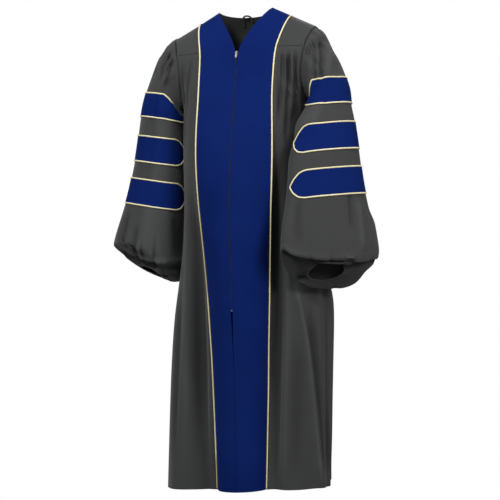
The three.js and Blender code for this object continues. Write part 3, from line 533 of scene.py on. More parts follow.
def outerSkin(name, thickness, heart, keepFolds=False):
    # the outer side of a cloth wall of the frame, as a clean grid of four-sided faces
    shape = shapeOf(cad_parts[name].data)
    bmesh.ops.remove_doubles(shape, verts=shape.verts[:], dist=1e-6)
    wall = thickness * mm
    short = {e for e in shape.edges if abs(e.calc_length() / wall - 1) < skin["rimShare"]}
    rim = [f for f in shape.faces if any(e in short for e in f.edges)]
    bmesh.ops.delete(shape, geom=rim, context="FACES")
    heart = Vector(heart) * mm

    def facing(group):
        return sum(f.normal.dot(f.calc_center_median() - heart) * f.calc_area() for f in group)

    groups = sorted(groupsOf(shape.faces, facesBeside), key=facing)
    bmesh.ops.delete(shape, geom=[f for group in groups[:-1] for f in group], context="FACES")
    shape.normal_update()
    diagonals, runs = sortEdges(shape)
    tube = next((run for run in runs if not any(edge.is_boundary for edge in run)), None)
    bmesh.ops.dissolve_edges(shape, edges=diagonals, use_verts=False)
    if tube:
        markSeam(shape, [edge for edge in tube if edge.is_valid])
    sharpness = shape.edges.layers.float.new("crease_edge")
    for edge in shape.edges if keepFolds else ():
        low = all(v.co.z < skin["foldBelow"] * mm for v in edge.verts) and len(edge.link_faces) == 2
        if low and edge.calc_face_angle() > math.radians(skin["foldAngle"]):
            edge[sharpness] = skin["foldSharpness"]
    mesh = bpy.data.meshes.new(name + "_cloth")
    keepShape(shape, mesh)
    return makeObject(name + "_cloth", mesh)


def walkBorder(spot, left):
    # the border points from one on, in order, which are taken out of those that are left
    walked = []
    while spot:
        del left[spot]
        walked.append(spot)
        near = [e.other_vert(spot) for e in spot.link_edges if e.is_boundary]
        spot = next((v for v in near if v in left), None)
    return walked


def markSeam(shape, lengthwise):
    # the underarm seam of a tube: one run of lengthwise edges from its lowest top point down
    ends = dict.fromkeys(v for v in shape.verts if v.is_boundary)
    ring = walkBorder(max(ends, key=lambda v: v.co.z), ends)
    spot = min(ring, key=lambda v: v.co.z)
    allowed = set(lengthwise)
    while edge := next((e for e in spot.link_edges if e in allowed), None):
        allowed.discard(edge)
        edge.seam = True
        spot = edge.other_vert(spot)


def mapCloth(piece):
    # a flat map of the cloth, scaled to metres
    editWhole(piece, bpy.ops.uv.unwrap, method="CONFORMAL", margin=0)
    mesh = piece.data
    flat = np.empty(len(mesh.loops) * 2, np.float32)
    mesh.uv_layers.active.data.foreach_get("uv", flat)
    flat = flat.reshape(-1, 2)
    area = 0.0
    for face in mesh.polygons:
        u, v = flat[list(face.loop_indices)].T
        area += abs(np.dot(u, np.roll(v, 1)) - np.dot(v, np.roll(u, 1))) / 2
    scale = math.sqrt(sum(face.area for face in mesh.polygons) / max(area, 1e-9))
    mesh.uv_layers.active.data.foreach_set("uv", (flat * scale).ravel())


# Each view gives the two axes that a crease is drawn on and the side that it shows on
views = {
    "front": ((0, 2), 1, -1),
    "back": ((0, 2), 1, 1),
    "leftSide": ((1, 2), 0, 1),
    "rightSide": ((1, 2), 0, -1),
    "top": ((0, 1), 2, 1),
    "below": ((0, 1), 2, -1),
}


def curveAt(a, b, c, d, t):
    # a smooth curve from b to c, between a and d
    square, cube = 2 * a - 5 * b + 4 * c - d, 3 * b - a - 3 * c + d
    return 0.5 * (2 * b + (c - a) * t + square * t * t + cube * t ** 3)


def smoothPath(points, count=24):
    # a smooth curve through a few points
    points = np.array(points, float)
    ends = np.vstack([2 * points[0] - points[1], points, 2 * points[-1] - points[-2]])
    spots = np.linspace(0, len(points) - 1, count)
    out = []
    for spot in spots:
        i = min(int(spot), len(points) - 2)
        out.append(curveAt(*ends[i:i + 4], spot - i))
    return np.array(out)


def crease(view, width, depth, *path, fade=0.35, steep=1.0):
    # a soft trough, or a ridge if the depth is positive, along a path that is drawn in a view;
    # it fades out at both ends, and its right side, looking along the path, may be steeper
    return dict(view=view, width=width, depth=depth, path=path, fade=fade, steep=steep)


def creaseDepth(places, normals, view, width, depth, path, fade, steep):
    axes, facingAxis, sign = views[view]
    flat = places[:, axes] / mm
    curve = smoothPath(path)
    best = np.full(len(flat), 1e9)
    share, side = np.zeros(len(flat)), np.zeros(len(flat))
    for i, (a, b) in enumerate(zip(curve[:-1], curve[1:])):
        step = b - a
        t = np.clip((flat - a) @ step / max(step @ step, 1e-9), 0, 1)
        apart = np.linalg.norm(flat - a - t[:, None] * step, axis=1)
        nearer = apart < best
        best = np.where(nearer, apart, best)
        share = np.where(nearer, (i + t) / (len(curve) - 1), share)
        turn = step[0] * (flat[:, 1] - a[1]) - step[1] * (flat[:, 0] - a[0])
        side = np.where(nearer, turn, side)
    ends = eased(share / fade) * eased((1 - share) / fade)
    shows = eased((normals[:, facingAxis] * sign + 0.1) / 0.4)
    widths = np.where(side < 0, width * steep, width)
    return depth * np.exp(-((best / widths) ** 2)) * ends * shows


fullFoldShadeDepth = 9  # a crease this deep gets the full painted shade in its trough, or the full painted highlight on its ridge


def addCreases(piece, creases):
    mesh = piece.data
    places, normals = vertexPlaces(mesh), vertexNormals(mesh)
    total = sum((creaseDepth(places, normals, **c) for c in creases), np.zeros(len(places)))
    setPlaces(mesh, places + normals * (total * mm)[:, None])
    # how deep each point lies, which sets the painted shade in troughs and the painted highlight on ridges
    # of the cloth's colour
    fold = mesh.attributes.new("fold", "FLOAT", "POINT")
    fold.data.foreach_set("value", np.clip(total / fullFoldShadeDepth, -1, 1).astype(np.float32))


def underlap(piece, where, reach=6, drop=2.4):
    # the seam allowance: border points that a test picks get a strip that runs on under the next piece
    shape = shapeOf(piece.data)
    edges = [e for e in shape.edges if e.is_boundary and all(where(v.co / mm) for v in e.verts)]
    away = {}
    for edge in edges:
        face = edge.link_faces[0]
        middle = (edge.verts[0].co + edge.verts[1].co) / 2
        along = (edge.verts[1].co - edge.verts[0].co).normalized()
        out = middle - face.calc_center_median()
        out = (out - along * out.dot(along)).normalized()
        for vert in edge.verts:
            away.setdefault(vert, Vector())
            away[vert] += out
    normals = {vert: vert.normal.copy() for vert in away}
    made = bmesh.ops.extrude_edge_only(shape, edges=edges)["geom"]
    for vert in (part for part in made if isinstance(part, bmesh.types.BMVert)):
        old = next(e.other_vert(vert) for e in vert.link_edges if e.other_vert(vert) in away)
        vert.co = old.co + (away[old].normalized() * reach - normals[old] * drop) * mm
    keepShape(shape, piece.data)


def thicken(piece, thickness):
    applyModifier(piece, "SOLIDIFY", thickness=thickness * mm, offset=-1, use_even_offset=False)
    shadeSmooth(piece, 50)


def treeOf(piece):
    # a search tree over the outer side of some cloth
    points = [v.co.copy() for v in piece.data.vertices]
    return BVHTree.FromPolygons(points, [list(face.vertices) for face in piece.data.polygons])


def borderLoops(piece):
    # the open edges of a piece, each as a run of points in order
    shape = shapeOf(piece.data)
    left, loops = dict.fromkeys(v for v in shape.verts if v.is_boundary), []
    while left:
        loops.append(np.array([v.co for v in walkBorder(next(iter(left)), left)]))
    shape.free()
    return loops


# Body cloth

# thickness, finish and slot of each kind of cloth
suiting = (1.6, gownCloth, "gown_cloth")
panelVelvet = (2.0, velvet, "velvet")
tape = (1.0, zipTape, "zip_tape")
bodyHeart = (0, 30, -500)  # cloth turns its outer side away from here

frontLeft = {
    "flat": (0.235, 1.24),
    "area": 0.234,
    "creases": [
        crease("front", 13, -16, (120, -290), (114, -560), (104, -850), (92, -1360)),
        crease("front", 10, 6, (142, -640), (130, -1000), (119, -1360), fade=0.2),
        crease("front", 5, 9, (160, -780), (186, -930), (206, -1130), (226, -1350), fade=0.1, steep=1.6),
        crease("front", 9, -8, (190, -820), (214, -1060), (236, -1330), fade=0.2),
        crease("front", 6, -11, (146, -126), (149, -230), (142, -400), fade=0.2),
        crease("front", 6, -9, (164, -124), (164, -230), (156, -360), fade=0.2),
        crease("front", 6, -8, (127, -128), (130, -200), (127, -340), fade=0.2),
        crease("front", 5, 5, (155, -125), (157, -190), (150, -320), fade=0.2),
        crease("front", 22, -6, (165, -860), (160, -1100), (156, -1360)),
    ],
}
frontRight = {
    "flat": (0.22, 1.24),
    "area": 0.223,
    "creases": [
        crease("front", 24, -12, (-132, -420), (-126, -800), (-122, -1360)),
        crease("front", 14, 6, (-160, -520), (-166, -900), (-170, -1360)),
        crease("front", 10, 5, (-100, -700), (-95, -1000), (-90, -1360)),
        crease("front", 12, -7, (-190, -760), (-200, -1000), (-208, -1360)),
        crease("front", 6, -4, (-140, -134), (-146, -220), (-150, -330), fade=0.25),
        crease("front", 7, -6, (-168, -140), (-166, -260), (-160, -420), fade=0.25),
    ],
}
backCloth = {
    "flat": (0.74, 1.22),
    "area": 0.693,
    "gathers": {
        "count": 26, "reach": 168, "top": -146, "lengths": (70, 260), "widths": (3.5, 6), "depth": 4,
    },
    "creases": [
        crease("back", 20, -9, (-150, -300), (-170, -700), (-182, -1360)),
        crease("back", 18, -8, (-60, -280), (-66, -700), (-74, -1360)),
        crease("back", 16, 7, (20, -260), (26, -700), (34, -1360)),
        crease("back", 22, -9, (96, -320), (110, -760), (120, -1360)),
        crease("back", 16, 7, (170, -420), (188, -800), (200, -1360)),
        crease("rightSide", 16, -7, (40, -420), (60, -800), (70, -1360)),
        crease("leftSide", 18, -8, (50, -450), (70, -800), (80, -1360)),
    ],
}


def gatherCreases(view, gathers, seed):
    # small uneven troughs that hang from a gathered seam
    rng = random.Random(seed)
    out = []
    for i in range(gathers["count"]):
        share = (i + 0.5 + rng.uniform(-0.3, 0.3)) / gathers["count"]
        at = gathers["reach"] * (2 * share - 1)
        long = rng.uniform(*gathers["lengths"])
        lean = rng.uniform(-0.04, 0.04)
        top = gathers["top"] + shoulderTilt * at
        path = [(at, top), (at + lean * long, top - long * 0.5), (at + 2 * lean * long, top - long)]
        depth = -gathers["depth"] * rng.uniform(0.5, 1)
        out.append(crease(view, rng.uniform(*gathers["widths"]), depth, *path, fade=0.25))
    return out


def clothPiece(name, cloth, creases=(), heart=bodyHeart, laps=(), levels=3, tube=False):
    thickness, finish, slot = cloth
    piece = outerSkin(name, thickness, heart, keepFolds=tube)
    mapCloth(piece)
    border = "ALL" if tube else "PRESERVE_CORNERS"
    applyModifier(piece, "SUBSURF", levels=levels, render_levels=levels, boundary_smooth=border)
    addCreases(piece, creases)
    borders[name] = borderLoops(piece)
    for lap in laps:
        underlap(piece, **lap)
    skins[name] = treeOf(piece)
    thicken(piece, thickness)
    finishPiece(piece, finish, name)


skins, borders = {}, {}  # search trees and open edges of the cloth
# seam allowances that run on under the next piece
yokeSeam = dict(where=lambda p: p.z > -128 + shoulderTilt * p.x and abs(p.x) > 100, drop=2.0)
backSeam = dict(where=lambda p: p.z > -153 + shoulderTilt * p.x, drop=2.0)
sideSeam = dict(where=lambda p: abs(p.x) > 150 and -1348 + shoulderTilt * p.x < p.z < -262, reach=8, drop=2)
for name, settings in (("front_left", frontLeft), ("front_right", frontRight)):
    clothPiece(name, suiting, settings["creases"], laps=[yokeSeam, sideSeam])
backCreases = backCloth["creases"] + gatherCreases("back", backCloth["gathers"], 4)
clothPiece("back", suiting, backCreases, laps=[backSeam])
print("fronts and back made")

yokes = {
    "yoke_front_left": {"flat": (0.085, 0.132), "area": 0.0092},
    "yoke_front_right": {"flat": (0.085, 0.132), "area": 0.0092},
    "yoke_back": {"flat": (0.445, 0.2), "area": 0.067, "hangsFrom": []},
}
yokeHeart = (0, 20, -300)
capSeam = dict(where=lambda p: abs(p.x) > 186 and p.y > 8, reach=6, drop=1)
for name, settings in yokes.items():
    clothPiece(name, suiting, heart=yokeHeart, laps=[capSeam])

zipFly = dict(where=lambda p: abs(p.x) < 4.5 and -850 < p.z < -138, reach=1.7, drop=0.4)
for name in ("panel_left", "panel_right"):
    clothPiece(name, panelVelvet, laps=[zipFly])
print("yokes and velvet panels made")

# Sleeves

sleeves = {
    "sleeve_left": {
        "flat": (0.52, 0.84),
        "area": 0.333,
        "heart": (245, -40, -400),
        "sign": 1,
        "creases": [
            # folds that hang from the gathered cap
            crease("front", 8, -11, (229, -86), (236, -150), (239, -228), fade=0.2, steep=0.4),
            crease("front", 7, -6, (213, -102), (219, -160), (222, -235), fade=0.25, steep=0.5),
            crease("front", 9, -6, (258, -92), (272, -150), (279, -220), fade=0.25),
            crease("front", 7, 5, (243, -88), (253, -150), (257, -225), fade=0.25),
            crease("front", 8, 5, (206, -150), (208, -200), (206, -262), fade=0.3),
            crease("top", 16, -4, (210, -60), (210, 0), (210, 60), fade=0.2),
            crease("leftSide", 60, 7, (-15, -110), (-15, -190), (-15, -290), fade=0.3),
            crease("rightSide", 42, 14, (-62, -235), (-70, -300), (-80, -390)),
            crease("back", 6, -8, (228, -86), (236, -150), (240, -235), fade=0.25),
            crease("back", 6, -6, (210, -104), (216, -170), (218, -245), fade=0.25),
            crease("back", 7, -5, (246, -84), (262, -150), (270, -240), fade=0.25),
            # the bell
            crease("front", 6, -5, (322, -500), (328, -570), (334, -640)),
            crease("front", 6, 6, (340, -540), (350, -610), (358, -690), fade=0.2),
            crease("leftSide", 12, -12, (6, -520), (14, -610), (18, -720), fade=0.3),
            crease("leftSide", 9, 7, (-24, -560), (-22, -640), (-20, -716), fade=0.3),
            crease("front", 12, -5, (200, -520), (196, -600), (200, -690)),
            crease("back", 18, -9, (240, -420), (246, -560), (252, -720)),
            crease("back", 14, -7, (300, -460), (316, -580), (326, -710)),
            # the turned edge and the gathers into the cuff
            crease("front", 5, 5, (150, -664), (190, -690), (273, -702), (352, -696), fade=0.1),
            crease("front", 8, -10, (150, -680), (190, -705), (273, -717), (352, -711), fade=0.1),
            crease("leftSide", 7, -10, (-110, -722), (-30, -714), (60, -700), fade=0.2),
            crease("below", 7, -9, (306, -80), (330, -62), (356, -40)),
            crease("below", 6, -8, (300, -105), (326, -110), (350, -106)),
            crease("below", 6, -8, (276, -128), (290, -148), (300, -166)),
            crease("below", 6, -7, (238, -130), (230, -150), (226, -170)),
            crease("below", 7, -8, (208, -90), (186, -96), (168, -98)),
            crease("below", 8, -9, (260, -40), (266, 0), (270, 40)),
        ],
    },
    "sleeve_right": {
        "flat": (0.52, 0.79),
        "area": 0.306,
        "heart": (-265, 10, -400),
        "sign": -1,
        "creases": [
            crease("front", 6, -8, (-200, -104), (-222, -148), (-237, -210), fade=0.25),
            crease("front", 6, -6, (-213, -96), (-242, -134), (-260, -190), fade=0.25),
            crease("front", 6, -8, (-195, -126), (-206, -172), (-214, -235), fade=0.25),
            crease("front", 5, 4, (-208, -98), (-232, -140), (-248, -200), fade=0.25),
            crease("back", 6, -8, (-204, -106), (-226, -156), (-240, -230), fade=0.25),
            crease("back", 7, -6, (-218, -98), (-246, -150), (-262, -220), fade=0.25),
            # the full cap, and the dark dip beside its seam
            crease("rightSide", 48, 7, (5, -84), (5, -120), (5, -210), fade=0.45),
            crease("front", 9, -7, (-192, -80), (-184, -100), (-181, -128), fade=0.3),
            # the inner side lies against the body
            crease("leftSide", 44, 11, (0, -255), (0, -290), (0, -335), fade=0.4),
            crease("leftSide", 64, 12, (-30, -215), (-30, -520), (-30, -830), fade=0.12),
            # the bell
            crease("front", 9, -6, (-330, -560), (-346, -620), (-356, -680)),
            crease("front", 7, -5, (-300, -600), (-312, -650), (-318, -710)),
            crease("front", 9, -7, (-214, -560), (-210, -640), (-212, -720)),
            crease("back", 18, -9, (-250, -420), (-262, -560), (-272, -700)),
            crease("back", 14, -7, (-310, -460), (-326, -580), (-340, -690)),
            # the turned edge, crinkled, and the gathers into the cuff
            crease("front", 5, 5, (-376, -660), (-311, -699), (-243, -711), (-200, -716), fade=0.1),
            crease("front", 7, -9, (-376, -674), (-311, -713), (-243, -725), (-200, -730), fade=0.1),
            crease("front", 4, -5, (-362, -640), (-345, -664), (-338, -690)),
            crease("front", 4, -5, (-338, -652), (-322, -676), (-318, -700)),
            crease("front", 4, -4, (-304, -668), (-292, -690), (-288, -712)),
            crease("below", 7, -9, (-330, 20), (-356, 10), (-380, 0)),
            crease("below", 6, -8, (-300, -10), (-312, -34), (-320, -52)),
            crease("below", 6, -8, (-270, -16), (-262, -36), (-256, -52)),
            crease("below", 7, -8, (-290, 66), (-296, 86), (-300, 104)),
        ],
    },
}


crimps = {"count": 9, "x": 188, "z": -136, "stepX": 6.5, "stepZ": 7, "lengths": (16, 32), "width": 3.2}
armholeLap = dict(where=lambda p: abs(p.x) < 212 and p.z > -275, reach=6, drop=2)


def capCrimps(sign, seed):
    # short uneven crimps where the cap is gathered into the armhole
    rng = random.Random(seed)
    out = []
    for view in ("front", "back"):
        for i in range(crimps["count"]):
            x = crimps["x"] + crimps["stepX"] * i + rng.uniform(-1.5, 1.5)
            z = crimps["z"] + crimps["stepZ"] * i + shoulderTilt * sign * x
            long = rng.uniform(*crimps["lengths"])
            path = [(x, z + 6), (x + 0.35 * long, z - 0.5 * long), (x + 0.5 * long, z - long)]
            path = [(sign * across, up) for across, up in path]
            out.append(crease(view, crimps["width"], rng.uniform(-6.5, -3), *path, fade=0.3))
    return out


armholes, cuffs = {}, {}
for name, settings in sleeves.items():
    creases = settings["creases"] + capCrimps(settings["sign"], 7)
    clothPiece(name, suiting, creases, settings["heart"], [armholeLap], tube=True)
    armholes[name], cuffs[name] = sorted(borders[name], key=lambda loop: -np.mean(loop, axis=0)[2])
print("sleeves made")

# Piping and bars

piping = {"radius": 2.4, "sides": 10, "step": 3.5, "sink": 0.55}
barVelvet = {"rows": 12, "lift": 1.1, "thickness": 1.6}
# how far the front point of a bar is drawn out and down, and how far from the tip that reaches
barPoints = {
    ("left", 2): {"reach": 64, "out": 11, "down": 6},
    ("left", 3): {"reach": 64, "out": 4, "down": 5},
}


def cordPath(name, ringEdge=4.3):
    # the middle line of a cord of the frame: its rings are joined by its short edges
    shape = shapeOf(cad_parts[name].data)
    bmesh.ops.remove_doubles(shape, verts=shape.verts[:], dist=1e-6)

    def onRing(vert):
        return [e.other_vert(vert) for e in vert.link_edges if e.calc_length() < ringEdge * mm]

    rings = groupsOf(shape.verts, onRing)
    ringOf = {vert: i for i, ring in enumerate(rings) for vert in ring}
    near = [set() for _ in rings]
    for edge in shape.edges:
        a, b = (ringOf[v] for v in edge.verts)
        if a != b:
            near[a].add(b)
            near[b].add(a)
    middles = [sum((v.co for v in ring), Vector()) / len(ring) for ring in rings]
    ends = [i for i, found in enumerate(near) if len(found) == 1]
    order = [ends[0] if ends else 0]
    while following := [i for i in near[order[-1]] if i not in order]:
        order.append(following[0])
    shape.free()
    return [middles[i] for i in order], not ends


def runOf(points):
    # how far along the points each one lies
    return np.concatenate([[0], np.cumsum(np.linalg.norm(np.diff(points, axis=0), axis=1))])


def evenly(points, count):
    run = runOf(points)
    spots = np.linspace(0, run[-1], count)
    return np.stack([np.interp(spots, run, points[:, k]) for k in range(3)], axis=1)


def resample(points, closed, step, smooth=True):
    # evenly spaced points on a curve through the given ones
    points = [np.array(p) for p in points]
    count = len(points)
    fine = []
    for i in range(count if closed else count - 1):
        near = [k % count if closed else min(max(k, 0), count - 1) for k in range(i - 1, i + 3)]
        a, b, c, d = (points[k] for k in near)
        for t in np.linspace(0, 1, 12, endpoint=False):
            fine.append(curveAt(a, b, c, d, t) if smooth else b + (c - b) * t)
    fine = np.array(fine + [fine[0] if closed else points[-1]])
    even = evenly(fine, max(8, int(runOf(fine)[-1] / (step * mm))) + 1)
    return even[:-1] if closed else even


def onCloth(points, trees, height):
    # the points set at a height over the nearest cloth, with the cloth's directions there
    places, normals = [], []
    for point in points:
        found = [tree.find_nearest(Vector(point)) for tree in trees]
        place, normal, _, _ = min((f for f in found if f[0]), key=lambda f: f[3])
        away = Vector(point) - place
        if away.length > 1e-5 and away.normalized().dot(normal) > 0.5:
            normal = (normal + away.normalized()).normalized()
        places.append(np.array(place + normal * height * mm))
        normals.append(np.array(normal))
    return np.array(places), np.array(normals)


def neighbours(values, closed):
    before, after = np.roll(values, 1, 0), np.roll(values, -1, 0)
    if not closed:
        before[0], after[-1] = values[0], values[-1]
    return before, after


def calm(values, closed, rounds):
    # evens out a run of points or directions
    for _ in range(rounds):
        before, after = neighbours(values, closed)
        values = (before + 2 * values + after) / 4
    return values


def cordMesh(name, path, normals, radius, sides, closed):
    # a round cord with a map along it, whose first side looks along the normals
    path, count = np.array(path), len(path)
    before, after = neighbours(path, closed)
    along = after - before
    along /= np.linalg.norm(along, axis=1)[:, None]
    out = normals - along * np.sum(normals * along, axis=1)[:, None]
    out /= np.linalg.norm(out, axis=1)[:, None]
    across = np.cross(along, out)
    turns = 2 * math.pi * np.arange(sides) / sides
    ring = np.cos(turns)[None, :, None] * across[:, None, :] + np.sin(turns)[None, :, None] * out[:, None, :]
    points = (path[:, None, :] + ring * radius * mm).reshape(-1, 3)
    faces, maps = [], []
    step = runOf(path)[-1] / (count - 1)
    for i in range(count if closed else count - 1):
        for k in range(sides):
            j, m = (i + 1) % count, (k + 1) % sides
            faces.append((i * sides + k, i * sides + m, j * sides + m, j * sides + k))
            u0, u1, v0, v1 = i * step, (i + 1) * step, k / sides, (k + 1) / sides
            maps += [(u0, v0), (u0, v1), (u1, v1), (u1, v0)]
    if not closed:
        for base, order in ((0, range(sides - 1, -1, -1)), ((count - 1) * sides, range(sides))):
            faces.append([base + k for k in order])
            maps += [(base / sides * step, k / sides) for k in order]
    mesh = meshOf(name, points, faces)
    layer = mesh.uv_layers.new(name="map")
    layer.data.foreach_set("uv", np.array(maps, np.float32).ravel())
    shape = shapeOf(mesh)
    bmesh.ops.recalc_face_normals(shape, faces=shape.faces[:])
    keepShape(shape, mesh)
    piece = makeObject(name, mesh)
    pickOnly(piece)
    bpy.ops.object.shade_smooth()
    return piece


def pipingOn(name, path, closed, trees):
    even = resample(path, closed, piping["step"], smooth=not closed)
    places, normals = onCloth(even, trees, piping["radius"] * piping["sink"])
    places, normals = calm(places, closed, 1 if closed else 6), calm(normals, closed, 8)
    piece = cordMesh(name + "_cord", places, normals, piping["radius"], piping["sides"], closed)
    finishPiece(piece, goldPiping, name)
    return places


for side in ("left", "right"):
    path, closed = cordPath(f"panel_piping_{side}")
    trees = [skins[n] for n in (f"panel_{side}", f"front_{side}", f"yoke_front_{side}")]
    pipingOn(f"panel_piping_{side}", path, closed, trees)
print("panel piping made")


def drawnPoint(path, point):
    # the path of a bar's edge with its front point drawn out, most at the tip
    if not point:
        return path
    path = np.array(path)
    share = np.clip(1 - (path[:, 0] - path[:, 0].min()) / (point["reach"] * mm), 0, 1) ** 2
    path[:, 0] -= share * point["out"] * mm
    path[:, 2] -= share * point["down"] * mm
    return path


def barPiece(side, number):
    # the velvet fills the space inside the cord and lies on the sleeve
    sleeve = [skins[f"sleeve_{side}"]]
    path, closed = cordPath(f"bar_piping_{side}_{number}")
    path = drawnPoint(path, barPoints.get((side, number)))
    edge = pipingOn(f"bar_piping_{side}_{number}", path, closed, sleeve)
    tips = tipsOf(edge)
    upper = edge[tips[0]:tips[1] + 1]
    lower = np.roll(edge, -tips[1], axis=0)[:len(edge) - (tips[1] - tips[0]) + 1][::-1]
    columns, rows = max(len(upper), len(lower)), barVelvet["rows"]
    upper, lower = evenly(upper, columns), evenly(lower, columns)
    grid = np.array([upper + (lower - upper) * share for share in np.linspace(0, 1, rows + 1)])
    places, normals = onCloth(grid.reshape(-1, 3), sleeve, barVelvet["lift"])
    name = f"bar_{side}_{number}"
    faces = []
    for r in range(rows):
        for c in range(columns - 1):
            a = r * columns + c
            faces.append((a, a + columns, a + columns + 1, a + 1))
    mesh = meshOf(name + "_velvet", places, faces)
    shape = shapeOf(mesh)
    bmesh.ops.remove_doubles(shape, verts=shape.verts[:], dist=2e-5)
    shape.normal_update()
    middle = shape.faces[:][len(shape.faces) // 2]
    nearest = np.argmin(np.linalg.norm(places - np.array(middle.calc_center_median()), axis=1))
    if middle.normal.dot(Vector(normals[nearest])) < 0:
        bmesh.ops.reverse_faces(shape, faces=shape.faces[:])
    keepShape(shape, mesh)
    piece = makeObject(name + "_velvet", mesh)
    applyModifier(piece, "SOLIDIFY", thickness=barVelvet["thickness"] * mm, offset=0, use_even_offset=False)
    shadeSmooth(piece, 50)
    finishPiece(piece, velvet, name)


def tipsOf(loop):
    # the two points of a bar: the sharpest turns of its edge that lie far apart along it
    reach = 5
    before, after = np.roll(loop, reach, 0) - loop, np.roll(loop, -reach, 0) - loop
    bend = np.sum(before * after, axis=1) / np.linalg.norm(before, axis=1) / np.linalg.norm(after, axis=1)
    first = int(np.argmax(bend))
    apart = np.abs((np.arange(len(loop)) - first + len(loop) // 2) % len(loop) - len(loop) // 2)
    second = int(np.argmax(np.where(apart > len(loop) // 4, bend, -2)))
    return sorted((first, second))


for side in ("left", "right"):
    for number in (1, 2, 3):
        barPiece(side, number)
print("bars made")

# Zip

zipSettings = {
    "top": -128,
    "bottom": -840,
    "pitch": 1.5,  # from one tooth to the next, which is on the other side
    "tooth": {"wide": 3.4, "deep": 1.7, "high": 1.15, "offset": 0.75, "bevel": 0.35},
    "tape": {"flat": (0.024, 0.725), "area": 0.0174},
    "metalBevel": 0.3,
}


def zipMiddle():
    # the middle of the chain by height, from the frame's own chain
    places = vertexPlaces(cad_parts["zip_chain"].data)
    middle = places[np.abs(places[:, 0]) < 0.2 * mm]
    levels = np.unique(np.round(middle[:, 2], 5))
    rows = [middle[np.abs(middle[:, 2] - z) < 2e-5][:, 1] for z in levels]
    depths = [(row.min() + row.max()) / 2 for row in rows]
    return lambda z: np.interp(z, levels, depths)


def makeTooth():
    tooth = zipSettings["tooth"]
    bpy.ops.object.select_all(action="DESELECT")
    bpy.ops.mesh.primitive_cube_add(size=1)
    piece = sizedObject((tooth["wide"], tooth["deep"], tooth["high"]))
    # one cut each way before the edges are rounded
    editWhole(piece, bpy.ops.mesh.subdivide, number_cuts=1)
    applyModifier(piece, "BEVEL", width=tooth["bevel"] * mm, segments=2, limit_method="ANGLE")
    return piece


def repeated(name, source, matrices):
    # one mesh with a copy of a small piece at each place
    points = vertexPlaces(source.data)
    faces = [list(face.vertices) for face in source.data.polygons]
    allPoints, allFaces = [], []
    for matrix in matrices:
        start = len(allPoints) * len(points)
        allPoints.append(points @ matrix[:3, :3].T + matrix[:3, 3])
        allFaces += [[start + i for i in face] for face in faces]
    mesh = meshOf(name, np.concatenate(allPoints), allFaces)
    bpy.data.objects.remove(source)
    piece = makeObject(name, mesh)
    shadeSmooth(piece, 40)
    return piece


def makeChain():
    depthAt = zipMiddle()
    offset, matrices = zipSettings["tooth"]["offset"] * mm, []
    levels = np.arange(zipSettings["top"], zipSettings["bottom"], -zipSettings["pitch"]) * mm
    for i, z in enumerate(levels):
        matrix = np.eye(4)
        matrix[:3, 3] = (offset if i % 2 else -offset, depthAt(z), z)
        matrices.append(matrix)
    chain = repeated("zip_chain_coil", makeTooth(), matrices)
    finishPiece(chain, zipCoil, "zip_chain")


def metalPiece(node, body="gown"):
    # a zip fitting with its edges rounded over
    piece = makeObject(node + "_metal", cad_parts[node].data.copy())
    piece.data.materials.clear()
    editWhole(piece, bpy.ops.mesh.remove_doubles, threshold=1e-6)
    editWhole(piece, bpy.ops.mesh.dissolve_limited, angle_limit=math.radians(2))
    bevel = zipSettings["metalBevel"] * mm
    applyModifier(piece, "BEVEL", width=bevel, segments=3, limit_method="ANGLE", use_clamp_overlap=True)
    shadeSmooth(piece, 40)
    finishPiece(piece, nickel, node, body)


clothPiece("zip_tape", tape, levels=2)
makeChain()
metalPiece("zip_slider")
metalPiece("zip_stop")
metalPiece("zip_pull", "zip_pull")
print("zip made")

# Hanger loop

loop = {"radius": 2.6, "sides": 8, "step": 2.5, "faces": (0.0, -1.0, 0.25), "ringEdge": 3}
path, closed = cordPath("hanger_loop", loop["ringEdge"])
even = resample(path, closed, loop["step"])
normals = np.tile(loop["faces"], (len(even), 1))
strap = cordMesh("hanger_loop_strap", even, normals, loop["radius"], loop["sides"], closed)
finishPiece(strap, gownCloth, "hanger_loop")
print("hanger loop made")

# Seams

seam = {"radius": 0.9, "sides": 6, "step": 4, "sink": -0.35, "cuffRadius": 1.7, "yokeLevel": -119}
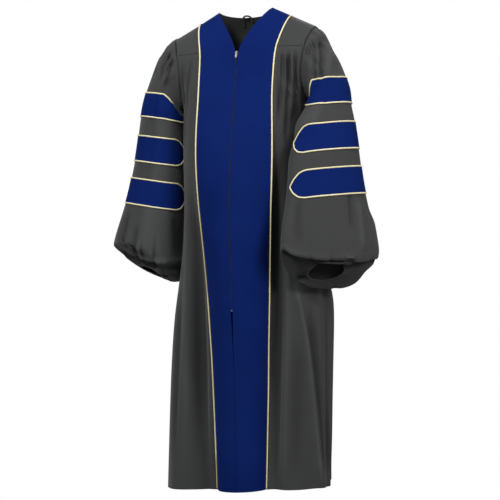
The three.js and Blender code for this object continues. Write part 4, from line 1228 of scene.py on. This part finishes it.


# a thin cord along a seam; with the default finish it is a dark cord of painted shadow down in the seam
def seamLine(name, path, closed, tree, finish=seamShade, radius=seam["radius"], sink=seam["sink"], fold=0.0):
    places, normals = onCloth(resample(path, closed, seam["step"]), [tree], radius * sink)
    places, normals = calm(places, closed, 2), calm(normals, closed, 6)
    piece = cordMesh(name, places, normals, radius, seam["sides"], closed)
    # an edge that catches the light gets the painted highlight of a ridge
    tone = piece.data.attributes.new("fold", "FLOAT", "POINT")
    tone.data.foreach_set("value", np.full(len(piece.data.vertices), fold, np.float32))
    finishPiece(piece, finish)


for side in ("left", "right"):
    name = f"sleeve_{side}"
    # a dark cord of painted shadow along the armhole seam
    seamLine(f"armhole_seam_shadow_{side}", armholes[name], True, skins[name])
    # the cuff's rim is a cord of cloth lightened with a painted highlight
    seamLine(f"cuff_edge_{side}", cuffs[name], True, skins[name], gownCloth, seam["cuffRadius"], 0.0, 1.0)
    # a dark cord of painted shadow along the lower edge of the front yoke
    yoke = borders[f"yoke_front_{side}"][0]
    low = yoke[yoke[:, 2] < (seam["yokeLevel"] + shoulderTilt * yoke[:, 0] / mm) * mm]
    low = low[np.argsort(low[:, 0])]
    seamLine(f"yoke_seam_shadow_{side}", low, False, skins[f"front_{side}"])
print("seams made")

# Stitches

stitch = {"long": 2.8, "wide": 0.5, "high": 0.4, "spacing": 4.2, "lift": 0.1, "fromZip": 8}
stitchLevels = range(-134, -846, -30)


def makeStitch():
    # a short rounded thread that lies along its own X
    bpy.ops.object.select_all(action="DESELECT")
    bpy.ops.mesh.primitive_uv_sphere_add(segments=6, ring_count=4, radius=0.5)
    return sizedObject((stitch["long"], stitch["wide"], stitch["high"]))


def stitchRow(name, path, trees):
    matrices = []
    places, normals = onCloth(resample(path, False, stitch["spacing"]), trees, stitch["lift"])
    for start, end, normal in zip(places[:-1], places[1:], normals):
        along = (end - start) / np.linalg.norm(end - start)
        out = normal - along * (normal @ along)
        out /= np.linalg.norm(out)
        matrix = np.eye(4)
        matrix[:3, :3] = np.stack([along, np.cross(out, along), out], axis=1)
        matrix[:3, 3] = (start + end) / 2
        matrices.append(matrix)
    piece = repeated(name, makeStitch(), matrices)
    finishPiece(piece, velvet)


depthAt = zipMiddle()
for side, sign in (("left", 1), ("right", -1)):
    path = [(sign * stitch["fromZip"] * mm, depthAt(z * mm), z * mm) for z in stitchLevels]
    stitchRow(f"zip_stitches_{side}", path, [skins[f"panel_{side}"]])
print("stitches made")
